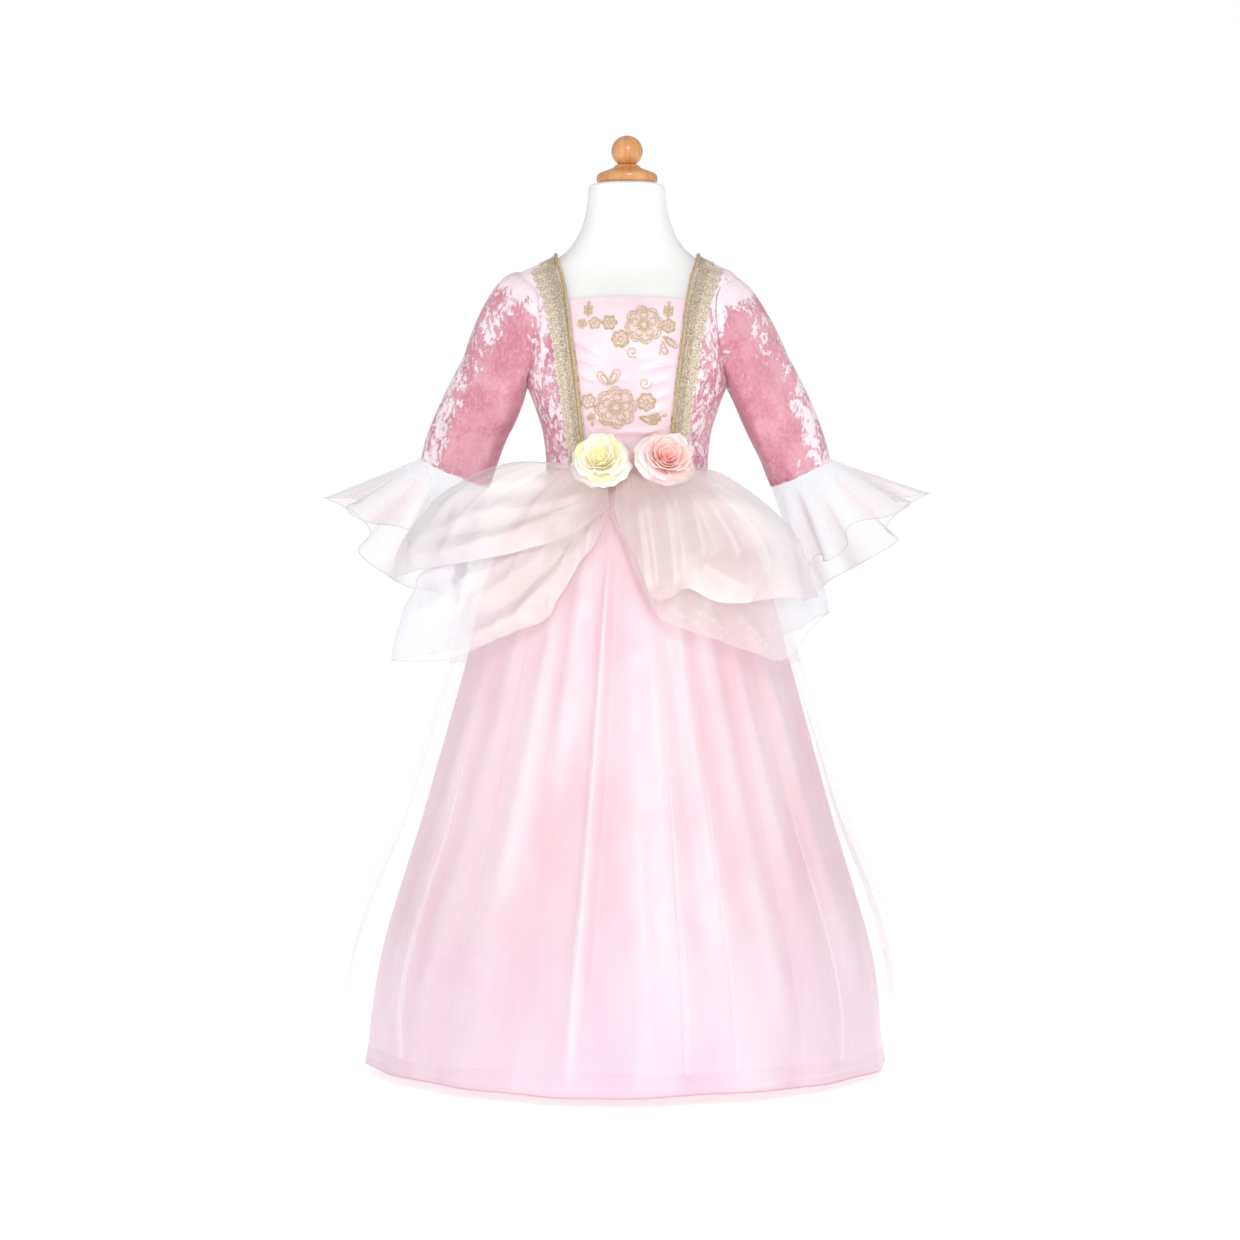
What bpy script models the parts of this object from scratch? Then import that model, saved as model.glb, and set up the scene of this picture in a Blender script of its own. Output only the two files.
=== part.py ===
"""A child's princess costume dress on a limbless dress form, as closed solids.

Metres, +Z up, the dress faces -Y and +X is the right of someone looking at its front.
The origin is the centre of the form's foot, on the surface that the form stands on.

Every cloth piece is a wall: a surface given by a function of two parameters, and the
same surface moved out along its normal by the cloth's thickness.
"""
import bmesh
import bpy
import numpy as np

# Driving dimensions
SEAM = 0.0003
WAIST_Z = 0.6600
HEM_Z = 0.0080
NET_HEM_Z = 0.0380
SHOULDER_Z = 0.8955
FORM_CLEARANCE = 0.0008
VELVET = 0.0015
SATIN = 0.0012
NET = 0.0010
ORGANZA = 0.0010
TRIM = 0.0010

# The form: one row for each section, squareness above 2 rounds towards a rectangle
FORM_COLUMNS = ("z", "half_width", "front", "back")
FORM_ROWS = (
    (0.5500, 0.1020, 0.080, 0.086),
    (0.5560, 0.1050, 0.083, 0.089),
    (0.6000, 0.0970, 0.077, 0.081),
    (0.6400, 0.0885, 0.072, 0.074),
    (0.6600, 0.0865, 0.071, 0.072),
    (0.6850, 0.0875, 0.072, 0.073),
    (0.7150, 0.0930, 0.075, 0.076),
    (0.7350, 0.1000, 0.078, 0.079),
    (0.7540, 0.1070, 0.080, 0.081),
    (0.7900, 0.1130, 0.080, 0.083),
    (0.8200, 0.1165, 0.075, 0.081),
    (0.8450, 0.1190, 0.065, 0.073),
    (0.8600, 0.1190, 0.056, 0.064),
    (0.8720, 0.1145, 0.049, 0.056),
    (0.8810, 0.1020, 0.045, 0.050),
    (0.8880, 0.0870, 0.044, 0.047),
    (0.8955, 0.0745, 0.043, 0.046),
    (0.9040, 0.0640, 0.042, 0.045),
    (0.9140, 0.0560, 0.041, 0.044),
    (0.9270, 0.0500, 0.040, 0.042),
    (0.9420, 0.0455, 0.040, 0.041),
    (0.9580, 0.0430, 0.040, 0.040),
    (0.9680, 0.0420, 0.040, 0.040),
    (0.9730, 0.0395, 0.038, 0.038),
    (0.9745, 0.0345, 0.034, 0.034),
)
FORM_SQUARENESS = 2.35
TORSO_INSET = 0.0010

# The satin skirt: its inner face at each height
SKIRT_COLUMNS = ("z", "half_width", "front", "back")
SKIRT_ROWS = (
    (0.0080, 0.2830, 0.2660, 0.2660),
    (0.0320, 0.2790, 0.2620, 0.2620),
    (0.0760, 0.2740, 0.2540, 0.2560),
    (0.1420, 0.2620, 0.2400, 0.2430),
    (0.2080, 0.2430, 0.2190, 0.2240),
    (0.2740, 0.2230, 0.2010, 0.2070),
    (0.3400, 0.2050, 0.1830, 0.1900),
    (0.4060, 0.1870, 0.1650, 0.1730),
    (0.4600, 0.1730, 0.1500, 0.1580),
    (0.5200, 0.1610, 0.1360, 0.1440),
    (0.5550, 0.1490, 0.1240, 0.1320),
    (0.5850, 0.1360, 0.1120, 0.1190),
    (0.6150, 0.1170, 0.0965, 0.1010),
    (0.6380, 0.0990, 0.0815, 0.0840),
    (0.6600, 0.0873, 0.0718, 0.0728),
)
SKIRT_SQUARENESS = 1.80
SKIRT_LEVELS = (0.0, 0.035, 0.09, 0.20, 0.38, 0.58, 0.74, 0.88, 1.0)
SKIRT_COLUMNS_EACH = 16

# The satin's folds: where each ridge lies round the hem, how wide it is and how far it stands
FOLD_COLUMNS = ("angle_deg", "width_deg", "height")
SATIN_FOLDS = (
    (-66, 10, 0.008), (-38, 11, 0.011), (-17, 7, 0.009), (5, 9, 0.006),
    (29, 11, 0.011), (52, 8, 0.007), (74, 10, 0.009), (97, 9, 0.010),
    (118, 10, 0.011), (141, 9, 0.009), (163, 10, 0.011), (184, 8, 0.009),
    (206, 10, 0.011), (229, 9, 0.010), (250, 9, 0.009), (271, 10, 0.010),
)
NET_FOLDS = (
    (-76, 8, 0.013), (-53, 6, 0.009), (-44, 4, 0.007), (-24, 6, 0.007),
    (-6, 5, 0.005), (15, 5, 0.009), (22, 4, 0.007), (42, 6, 0.007),
    (60, 5, 0.010), (80, 7, 0.006), (101, 7, 0.009), (124, 7, 0.010),
    (147, 7, 0.012), (170, 7, 0.010), (193, 7, 0.012), (216, 7, 0.010),
    (239, 7, 0.012), (264, 8, 0.019),
)
# How far the net stands off the satin at each height: in front, and more at the sides
NET_GAP_COLUMNS = ("z", "front", "side_more")
NET_GAP_ROWS = (
    (0.0000, 0.0050, 0.0040),
    (0.0380, 0.0060, 0.0110),
    (0.0760, 0.0065, 0.0200),
    (0.1420, 0.0065, 0.0220),
    (0.2080, 0.0060, 0.0190),
    (0.2740, 0.0055, 0.0110),
    (0.3400, 0.0050, 0.0100),
    (0.4060, 0.0045, 0.0090),
    (0.5200, 0.0040, 0.0040),
    (0.5850, 0.0032, 0.0000),
    (0.6380, 0.0014, 0.0000),
    (0.6600, 0.0003, 0.0000),
)

# Bodice edges: the line between the front panel and the centre panel, as seen from the front
NECK_EDGE_COLUMNS = ("z", "x")
NECK_EDGE_ROWS = (
    (0.6600, 0.0400), (0.6880, 0.0437), (0.7600, 0.0520), (0.8000, 0.0570),
    (0.8430, 0.0625), (0.8700, 0.0680), (0.8870, 0.0735), (0.8960, 0.0760),
)
# A front panel, from the waist row to the shoulder row: the inner edge's height, then
# the outer edge's height and angle round the body, 90 being the side
FRONT_PANEL_COLUMNS = ("z_inner", "z_outer", "outer_deg")
FRONT_PANEL_ROWS = (
    (0.6600, 0.6600, 90), (0.6880, 0.6840, 90), (0.7180, 0.7090, 90),
    (0.7470, 0.7320, 90), (0.7730, 0.7540, 90), (0.7960, 0.7690, 74),
    (0.8170, 0.7900, 66), (0.8370, 0.8150, 63), (0.8560, 0.8380, 64),
    (0.8720, 0.8550, 69), (0.8820, 0.8650, 77), (0.8890, 0.8695, 83),
    (0.8955, 0.8730, 90),
)
BACK_PANEL_COLUMNS = ("z_inner", "inner_deg", "z_outer", "outer_deg")
BACK_PANEL_ROWS = (
    (0.6600, 180, 0.6600, 90), (0.6950, 180, 0.6900, 90), (0.7300, 180, 0.7230, 90),
    (0.7640, 180, 0.7540, 90), (0.7940, 180, 0.7700, 106), (0.8200, 180, 0.7930, 115),
    (0.8420, 180, 0.8180, 118), (0.8600, 180, 0.8400, 116), (0.8680, 158, 0.8520, 111),
    (0.8760, 138, 0.8600, 106), (0.8830, 120, 0.8660, 101), (0.8895, 105, 0.8700, 96),
    (0.8955, 90, 0.8730, 90),
)
CENTRE_TOP_Z = 0.8420
CENTRE_TOP_ARCH = 0.0030

# Sleeves: the middle of the wrist end and its own sizes, right and left
CUFF_COLUMNS = ("side", "x", "y", "z", "across", "deep", "turn_deg", "puff", "tip")
CUFF_ROWS = (
    ("right", 0.1925, 0.030, 0.6590, 0.0345, 0.0330, 25, 0.007, 0.010),
    ("left", -0.1905, 0.030, 0.6590, 0.0395, 0.0330, 23, 0.017, 0.024),
)
SLEEVE_BULGE = 0.0125
SLEEVE_LEVELS = (0.0, 0.08, 0.20, 0.38, 0.56, 0.74, 0.90, 1.0)
SLEEVE_COLUMNS_ROUND = 20
CUFF_PUCKERS = 11
CUFF_PUCKER_DEPTH = 0.0016

# Cuff flounce: its length and its lean away from the arm, with the change round it
FLOUNCE_LENGTH = 0.1140
FLOUNCE_LENGTH_OUT = -0.0100
FLOUNCE_LENGTH_BACK = 0.0260
FLOUNCE_LEAN_DEG = 22.0
FLOUNCE_LEAN_OUTER_DEG = 20.0
FLOUNCE_LEAN_INNER_DEG = -17.0
FLOUNCE_TIP_AT = 1.35
FLOUNCE_TIP_WIDTH = 0.55
FLOUNCE_WAVES = 7
FLOUNCE_WAVE = 0.0085
FLOUNCE_COLUMNS_ROUND = 32
FLOUNCE_LEVELS = (0.0, 0.30, 0.65, 1.0)

# Overskirt swags of organza. Each row is a line from the waist to the free edge:
# where it lies round the body, the free edge's reach and height, and how far the line
# puffs out on the way, as the two middle points of a Bezier curve
SWAG_COLUMNS = ("angle_deg", "reach", "z", "puff1_reach", "puff1_z", "puff2_reach", "puff2_z")
SWAG_TABLES = {
    "swag_lower_left": (
        (-10.5, 0.1080, 0.612, 0.080, 0.654, 0.092, 0.636),
        (-16, 0.1300, 0.576, 0.082, 0.650, 0.110, 0.616),
        (-22, 0.1440, 0.553, 0.084, 0.648, 0.124, 0.600),
        (-31, 0.1610, 0.502, 0.089, 0.648, 0.142, 0.584),
        (-41, 0.1770, 0.487, 0.095, 0.650, 0.164, 0.576),
        (-50, 0.1940, 0.473, 0.102, 0.654, 0.184, 0.574),
        (-59, 0.2200, 0.456, 0.110, 0.660, 0.212, 0.576),
        (-73, 0.2600, 0.454, 0.120, 0.662, 0.250, 0.580),
        (-88, 0.2200, 0.458, 0.112, 0.654, 0.176, 0.560),
        (-104, 0.1980, 0.462, 0.109, 0.652, 0.161, 0.563),
        (-128, 0.2040, 0.472, 0.106, 0.656, 0.175, 0.570),
        (-154, 0.2060, 0.480, 0.100, 0.658, 0.184, 0.578),
        (-180, 0.1960, 0.484, 0.096, 0.658, 0.176, 0.580),
    ),
    "swag_lower_right": (
        (-9.5, 0.1080, 0.612, 0.080, 0.654, 0.092, 0.636),
        (-2, 0.1280, 0.584, 0.082, 0.650, 0.108, 0.620),
        (5, 0.1520, 0.540, 0.083, 0.648, 0.130, 0.596),
        (12, 0.1640, 0.501, 0.085, 0.646, 0.140, 0.584),
        (22, 0.1720, 0.487, 0.088, 0.648, 0.150, 0.582),
        (33, 0.1800, 0.476, 0.094, 0.650, 0.162, 0.578),
        (46, 0.1910, 0.462, 0.101, 0.654, 0.176, 0.574),
        (55, 0.2050, 0.457, 0.108, 0.660, 0.190, 0.574),
        (68, 0.2220, 0.500, 0.124, 0.664, 0.208, 0.592),
        (84, 0.2180, 0.506, 0.122, 0.660, 0.186, 0.584),
        (104, 0.1980, 0.488, 0.109, 0.652, 0.161, 0.566),
        (128, 0.2040, 0.476, 0.106, 0.656, 0.175, 0.570),
        (154, 0.2060, 0.480, 0.100, 0.658, 0.184, 0.578),
        (180, 0.1960, 0.484, 0.096, 0.658, 0.176, 0.580),
    ),
    "swag_upper_left": (
        (-12, 0.1140, 0.616, 0.084, 0.660, 0.096, 0.640),
        (-22, 0.1520, 0.590, 0.098, 0.662, 0.132, 0.622),
        (-36, 0.1740, 0.572, 0.118, 0.670, 0.160, 0.624),
        (-50, 0.1980, 0.560, 0.134, 0.680, 0.194, 0.624),
        (-64, 0.2360, 0.550, 0.152, 0.690, 0.236, 0.616),
        (-77, 0.2620, 0.542, 0.168, 0.696, 0.262, 0.602),
    ),
    "swag_upper_right": (
        (-7, 0.1140, 0.616, 0.084, 0.660, 0.096, 0.640),
        (3, 0.1500, 0.568, 0.092, 0.660, 0.130, 0.616),
        (9, 0.1700, 0.522, 0.095, 0.659, 0.146, 0.604),
        (20, 0.1810, 0.527, 0.102, 0.660, 0.161, 0.605),
        (33, 0.1950, 0.510, 0.116, 0.668, 0.184, 0.606),
        (47, 0.2120, 0.512, 0.126, 0.672, 0.202, 0.604),
        (61, 0.2320, 0.522, 0.136, 0.676, 0.216, 0.606),
    ),
}
SWAG_FINISH = {
    "swag_lower_left": {"waist_lift": 0.0040, "waves": 11, "wave": 0.0012, "columns": 31},
    "swag_lower_right": {"waist_lift": 0.0040, "waves": 11, "wave": 0.0012, "columns": 31},
    "swag_upper_left": {"waist_lift": 0.0085, "waves": 6, "wave": 0.0030, "columns": 20},
    "swag_upper_right": {"waist_lift": 0.0085, "waves": 6, "wave": 0.0030, "columns": 20},
}
SWAG_LEVELS = (0.0, 0.15, 0.35, 0.56, 0.78, 1.0)

# Gold trims
LACE_WIDTH = 0.0205
LACE_WIDTH_TOP = 0.0230
LACE_SCALLOPS = 18
LACE_SCALLOP = 0.0022
LACE_LIFT = 0.0009
CORD_RADIUS = 0.0021
CORD_LIFT = 0.0015
CORD_POINTS = 18

# Cloth roses at the waist: the middle, and the cups from the outside in
ROSE_COLUMNS = ("name", "x", "y", "z", "tilt_deg", "turn_deg")
ROSE_ROWS = (
    ("rose_cream", -0.0272, -0.0862, 0.6650, 30, -8),
    ("rose_pink", 0.0390, -0.0885, 0.6670, 28, 14),
)
CUP_COLUMNS = ("name", "radius", "depth", "base", "lobes", "lobe", "spin_deg")
CUP_ROWS = (
    ("outer", 0.0325, 0.0120, 0.0000, 5, 0.13, 0),
    ("middle", 0.0245, 0.0175, 0.0014, 5, 0.11, 36),
    ("inner", 0.0160, 0.0200, 0.0028, 4, 0.09, 20),
)
PETAL = 0.0010
HEART_RADIUS = 0.0085
HEART_HEIGHT = 0.0165

# Embroidered motifs on the centre panel: place from the front, size, petals and leaves
MOTIF_COLUMNS = ("name", "x", "z", "radius", "petals", "petal", "leaf_degs", "leaf")
MOTIF_ROWS = (
    ("motif_upper_bloom", 0.0100, 0.8120, 0.0135, 6, 0.16, (), 0.0),
    ("motif_upper_sprig", -0.0210, 0.8170, 0.0070, 5, 0.18, (170, 330), 0.95),
    ("motif_upper_leaves", 0.0380, 0.8060, 0.0060, 3, 0.20, (70, 250, 300), 0.90),
    ("motif_lower_bloom", -0.0060, 0.7330, 0.0140, 6, 0.16, (), 0.0),
    ("motif_lower_sprig", -0.0150, 0.7640, 0.0072, 4, 0.22, (60, 130), 0.80),
    ("motif_lower_leaves", 0.0240, 0.7360, 0.0066, 5, 0.20, (75, 280), 0.95),
)
MOTIF_THICK = 0.0010
MOTIF_LIFT = 0.0007

# The form's woodwork: turned profiles as radius and height
FOOT_RADIUS = 0.1400
FOOT_PROFILE = (
    (0.0130, 0.0300), (0.0320, 0.0290), (0.0400, 0.0220), (0.1300, 0.0160), (0.1380, 0.0130),
    (0.1400, 0.0090), (0.1400, 0.0000),
)
POLE_RADIUS = 0.0125
CAP_Z = 0.9748
CAP_PROFILE = (
    (0.0120, 0.0210), (0.0135, 0.0198), (0.0195, 0.0160), (0.0290, 0.0120), (0.0325, 0.0098),
    (0.0335, 0.0065), (0.0328, 0.0020), (0.0315, 0.0000),
)
BALL_RADIUS = 0.0172
BALL_Z = 1.0108


def clear_scene():
    for obj in list(bpy.data.objects):
        bpy.data.objects.remove(obj, do_unlink=True)


def rgb(name, colour, roughness, metallic=0.0):
    """A plain Principled material."""
    material = bpy.data.materials.new(name)
    material.use_nodes = True
    shader = material.node_tree.nodes["Principled BSDF"]
    shader.inputs["Base Color"].default_value = (*colour, 1.0)
    shader.inputs["Roughness"].default_value = roughness
    shader.inputs["Metallic"].default_value = metallic
    return material


def column(rows, index):
    return np.array([row[index] for row in rows], float)


def along(rows, index, at, key=0):
    """A smooth curve through one column of a table, read at the key column's values."""
    x, y = column(rows, key), column(rows, index)
    slope = np.gradient(y, x)
    at = np.clip(np.asarray(at, float), x.min(), x.max())
    i = np.clip(np.searchsorted(x, at, side="right") - 1, 0, len(x) - 2)
    h = x[i + 1] - x[i]
    t = (at - x[i]) / h
    rise = (1 + 2 * t) * (1 - t) ** 2 * y[i] + t * t * (3 - 2 * t) * y[i + 1]
    lean = t * (1 - t) ** 2 * slope[i] - t * t * (1 - t) * slope[i + 1]
    return rise + h * lean


def across(values, at):
    """A smooth curve through evenly spaced values, read from 0 to 1."""
    steps = np.linspace(0, 1, len(values))
    return along(tuple(zip(steps, values)), 1, at)


def ease(t):
    t = np.clip(t, 0, 1)
    return t * t * (3 - 2 * t)


def oval_radius(angle, half_width, front, back, squareness):
    """The distance from the axis to a rounded oval, at an angle from straight ahead."""
    side, ahead = np.abs(np.sin(angle)), np.cos(angle)
    depth = np.where(ahead >= 0, front, back)
    power = (side / half_width) ** squareness + (np.abs(ahead) / depth) ** squareness
    return power ** (-1 / squareness)


def form_radius(angle, z):
    return oval_radius(
        angle, along(FORM_ROWS, 1, z), along(FORM_ROWS, 2, z), along(FORM_ROWS, 3, z), FORM_SQUARENESS
    )


def polar(angle, radius, z):
    return np.stack([radius * np.sin(angle), -radius * np.cos(angle), z + 0 * angle], -1)


def form_surface(angle, z):
    return polar(angle, form_radius(angle, z), z)


def normals(surface, a, b, step=(1e-4, 1e-5)):
    """Unit normals of surface(a, b), by differences, turned away from the axis."""
    da = surface(a + step[0], b) - surface(a - step[0], b)
    db = surface(a, b + step[1]) - surface(a, b - step[1])
    n = np.cross(da, db)
    return n / np.maximum(np.linalg.norm(n, axis=-1, keepdims=True), 1e-12)


def form_offset(angle, z, lift):
    """A point this far outside the form."""
    n = normals(form_surface, angle, z)
    p = form_surface(angle, z)
    outward = np.sign((n * polar(angle, 1.0, 0 * z)).sum(-1, keepdims=True))
    return p + n * outward * np.asarray(lift)[..., None]


def mesh_object(name, points, faces, material):
    mesh = bpy.data.meshes.new(name)
    mesh.from_pydata([tuple(p) for p in points], [], faces)
    mesh.update()
    obj = bpy.data.objects.new(name, mesh)
    parts.objects.link(obj)
    mesh.materials.append(material)
    return obj


def signed_volume(points, faces):
    corners = np.asarray(points)[np.asarray(faces)]
    return np.einsum("ij,ij->i", corners[:, 0], np.cross(corners[:, 1], corners[:, 2])).sum() / 6


def wall(name, inner, outer, material, closed=False):
    """A closed wall between two grids of points. Closed grids join their last row to the first."""
    rows, cols = inner.shape[:2]
    count = rows * cols
    points = np.concatenate([inner.reshape(-1, 3), outer.reshape(-1, 3)])
    faces = []
    spans = rows if closed else rows - 1
    for i in range(spans):
        k = (i + 1) % rows
        for j in range(cols - 1):
            a, b, c, d = i * cols + j, k * cols + j, k * cols + j + 1, i * cols + j + 1
            faces += [(a, b, c), (a, c, d)]
            faces += [(count + a, count + c, count + b), (count + a, count + d, count + c)]
        for j, flip in ((0, True), (cols - 1, False)):
            a, b = i * cols + j, k * cols + j
            quad = [(a, count + a, count + b), (a, count + b, b)]
            faces += quad if flip else [face[::-1] for face in quad]
    if not closed:
        for i, flip in ((0, False), (rows - 1, True)):
            for j in range(cols - 1):
                a, b = i * cols + j, i * cols + j + 1
                quad = [(a, count + a, count + b), (a, count + b, b)]
                faces += quad if flip else [face[::-1] for face in quad]
    if signed_volume(points, faces) < 0:
        faces = [face[::-1] for face in faces]
    obj = mesh_object(name, points, faces, material)
    obj.data.shade_smooth()
    obj.data.set_sharp_from_angle(angle=np.radians(60))
    return obj


def solid_loft(name, grid, material):
    """A closed loft through rings, with a flat fan at each end."""
    rows, cols = grid.shape[:2]
    points = list(grid.reshape(-1, 3)) + [grid[0].mean(0), grid[-1].mean(0)]
    faces = []
    for i in range(rows - 1):
        for j in range(cols):
            k = (j + 1) % cols
            a, b, c, d = i * cols + j, i * cols + k, (i + 1) * cols + k, (i + 1) * cols + j
            faces += [(a, b, c), (a, c, d)]
    low, high, top = rows * cols, rows * cols + 1, (rows - 1) * cols
    for j in range(cols):
        k = (j + 1) % cols
        faces += [(low, k, j), (high, top + j, top + k)]
    if signed_volume(points, faces) < 0:
        faces = [face[::-1] for face in faces]
    obj = mesh_object(name, points, faces, material)
    obj.data.shade_smooth()
    obj.data.set_sharp_from_angle(angle=np.radians(50))
    return obj


def turned(name, profile, z, material, steps=20):
    """A profile of (radius, height) points, outer side top to bottom, spun by a Screw."""
    points = [(0.0, 0.0, profile[0][1])] + [(r, 0.0, h) for r, h in profile] + [(0.0, 0.0, profile[-1][1])]
    mesh = bpy.data.meshes.new(name)
    mesh.from_pydata(points, [(i, i + 1) for i in range(len(points) - 1)], [])
    obj = bpy.data.objects.new(name, mesh)
    parts.objects.link(obj)
    mesh.materials.append(material)
    obj.location.z = z
    screw = obj.modifiers.new("Turn", "SCREW")
    screw.steps = steps
    screw.render_steps = steps
    screw.use_merge_vertices = True
    screw.merge_threshold = 0.00001
    screw.use_smooth_shade = True
    return obj


def make_form():
    """The torso as a loft, the pole and foot under it, and the turned cap and ball on its neck."""
    heights = column(FORM_ROWS, 0)
    angle, z = np.meshgrid(np.linspace(-np.pi, np.pi, 24, endpoint=False), heights)
    inset = TORSO_INSET * ease((SHOULDER_Z + 0.016 - z) / 0.012)
    solid_loft("form_torso", form_offset(angle, z, -inset), jersey)
    turned("form_foot", FOOT_PROFILE, 0.0, wood, 24)
    bpy.ops.mesh.primitive_cylinder_add(
        vertices=16, radius=POLE_RADIUS,
        depth=FORM_ROWS[0][0] - FOOT_PROFILE[0][1] - 2 * SEAM,
        location=(0, 0, (FORM_ROWS[0][0] + FOOT_PROFILE[0][1]) / 2),
    )
    adopt(bpy.context.object, "form_pole", wood)
    turned("form_cap", CAP_PROFILE, CAP_Z, wood)
    bpy.ops.mesh.primitive_uv_sphere_add(
        segments=16, ring_count=10, radius=BALL_RADIUS, location=(0, 0, BALL_Z)
    )
    ball = bpy.context.object
    adopt(ball, "form_ball", wood)
    seat = CAP_Z + CAP_PROFILE[0][1] + SEAM
    flatten_below(ball, seat)


def adopt(obj, name, material):
    obj.name = name
    obj.data.name = name
    obj.data.materials.clear()
    obj.data.materials.append(material)
    obj.data.shade_smooth()
    obj.data.set_sharp_from_angle(angle=np.radians(40))
    for collection in list(obj.users_collection):
        collection.objects.unlink(obj)
    parts.objects.link(obj)


def flatten_below(obj, z):
    """Cuts a mesh flat at a height and keeps what is above it."""
    bm = bmesh.new()
    bm.from_mesh(obj.data)
    cut = bmesh.ops.bisect_plane(
        bm, geom=bm.verts[:] + bm.edges[:] + bm.faces[:],
        plane_co=(0, 0, z - obj.location.z), plane_no=(0, 0, -1), clear_outer=True,
    )
    edges = [item for item in cut["geom_cut"] if isinstance(item, bmesh.types.BMEdge)]
    bmesh.ops.contextual_create(bm, geom=edges)
    bmesh.ops.recalc_face_normals(bm, faces=bm.faces[:])
    bm.to_mesh(obj.data)
    bm.free()


def neck_edge_angle(z):
    """Where the neckline edge lies round the body, from its place in the front view."""
    x = along(NECK_EDGE_ROWS, 1, z)
    half_width, front = along(FORM_ROWS, 1, z), along(FORM_ROWS, 2, z)
    share = np.clip(x / half_width, 0, 1)
    y = front * (1 - share**FORM_SQUARENESS) ** (1 / FORM_SQUARENESS)
    return np.arctan2(x, y)


def body_patch(angle, z, lift, thick):
    return form_offset(angle, z, lift + 0 * z), form_offset(angle, z, lift + thick + 0 * z)


def seam_turn(angle, z):
    """The angle that half a seam's gap takes up at a place on the body."""
    return 0.5 * SEAM / form_radius(angle, z)


def front_panel_grid(columns=9):
    """Angles and heights of the right front panel, from the neckline edge to the armhole."""
    z_in, z_out = column(FRONT_PANEL_ROWS, 0), column(FRONT_PANEL_ROWS, 1)
    z_in[0] = z_out[0] = WAIST_Z + SEAM / 2
    a_in = neck_edge_angle(z_in)
    a_out = np.radians(column(FRONT_PANEL_ROWS, 2))
    a_in[-1] = a_out[-1]
    a_in, a_out = a_in + seam_turn(a_in, z_in), a_out - seam_turn(a_out, z_out)
    share = np.linspace(0, 1, columns)
    angle = a_in[:, None] * (1 - share) + a_out[:, None] * share
    z = z_in[:, None] * (1 - share) + z_out[:, None] * share
    return angle, z


def back_panel_grid(columns=9):
    z_in, z_out = column(BACK_PANEL_ROWS, 0), column(BACK_PANEL_ROWS, 2)
    z_in[0] = z_out[0] = WAIST_Z + SEAM / 2
    a_in, a_out = np.radians(column(BACK_PANEL_ROWS, 1)), np.radians(column(BACK_PANEL_ROWS, 3))
    a_in, a_out = a_in - seam_turn(a_in, z_in), a_out + seam_turn(a_out, z_out)
    share = np.linspace(0, 1, columns)
    angle = a_in[:, None] * (1 - share) + a_out[:, None] * share
    z = z_in[:, None] * (1 - share) + z_out[:, None] * share
    a_low = angle.copy()
    a_low[-1] = np.maximum(a_low[-1], np.pi / 2 + seam_turn(a_low[-1], z[-1]))
    return a_low, z


def make_bodice():
    """Two velvet fronts, two velvet backs and the satin centre panel."""
    for side, sign in (("right", 1), ("left", -1)):
        for name, grid in (("front", front_panel_grid()), ("back", back_panel_grid())):
            angle, z = grid
            inner, outer = body_patch(sign * angle, z, FORM_CLEARANCE, VELVET)
            wall(f"bodice_{name}_{side}", inner, outer, velvet)
    angle, z = centre_grid()
    inner = form_offset(angle, z, FORM_CLEARANCE + 0 * z)
    outer = form_offset(angle, z, centre_lift(angle, z))
    wall("bodice_centre", inner, outer, satin)


def centre_grid(rows=12, columns=11):
    """The centre panel, from the waist to its slightly arched top edge."""
    up, share = np.meshgrid(np.linspace(0, 1, rows), np.linspace(-1, 1, columns), indexing="ij")
    top = CENTRE_TOP_Z + CENTRE_TOP_ARCH * (1 - share**2)
    low = WAIST_Z + SEAM / 2
    z = low + (top - low) * up
    edge = neck_edge_angle(z)
    edge = edge - seam_turn(edge, z)
    return edge * share, z


def centre_lift(angle, z):
    """The centre panel's outer face: soft drag lines that run in from its two edges."""
    share = angle / neck_edge_angle(z)
    high = (z - WAIST_Z) / (CENTRE_TOP_Z - WAIST_Z)
    lines = np.sin(2 * np.pi * (4.2 * high + 0.55 * share**2 + 0.12 * share))
    room = np.clip(1.1 - high, 0, 1) * ease(high * 6) * (0.35 + 0.65 * share**2)
    return FORM_CLEARANCE + SATIN + 0.0011 * (1 + lines) * room


def sleeve_frame(row):
    """The cuff's middle, the way down the arm, the outward way and the backward way."""
    turn = np.radians(row[6])
    sign = 1 if row[0] == "right" else -1
    middle = np.array(row[1:4])
    down = np.array([sign * np.sin(turn), 0.10, -np.cos(turn)])
    down /= np.linalg.norm(down)
    out = np.array([sign * np.cos(turn), 0.0, np.sin(turn)])
    back = np.cross(down, out) * sign * -1
    return sign, middle, down, out, back


def armhole(phi, sign, lift):
    """A closed loop on the bodice's face: 0 is the shoulder, then back, underarm and front."""
    front = tuple((row[2], row[1]) for row in FRONT_PANEL_ROWS[4:])
    rear = tuple((row[3], row[2]) for row in BACK_PANEL_ROWS[3:])
    loop = rear[::-1] + front[1:]
    steps = np.linspace(0, 1, len(loop))
    at = (phi / (2 * np.pi)) % 1.0
    angle, z = np.interp(at, steps, np.radians(column(loop, 0))), np.interp(at, steps, column(loop, 1))
    return form_offset(sign * angle, z, lift + 0 * z)


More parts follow.
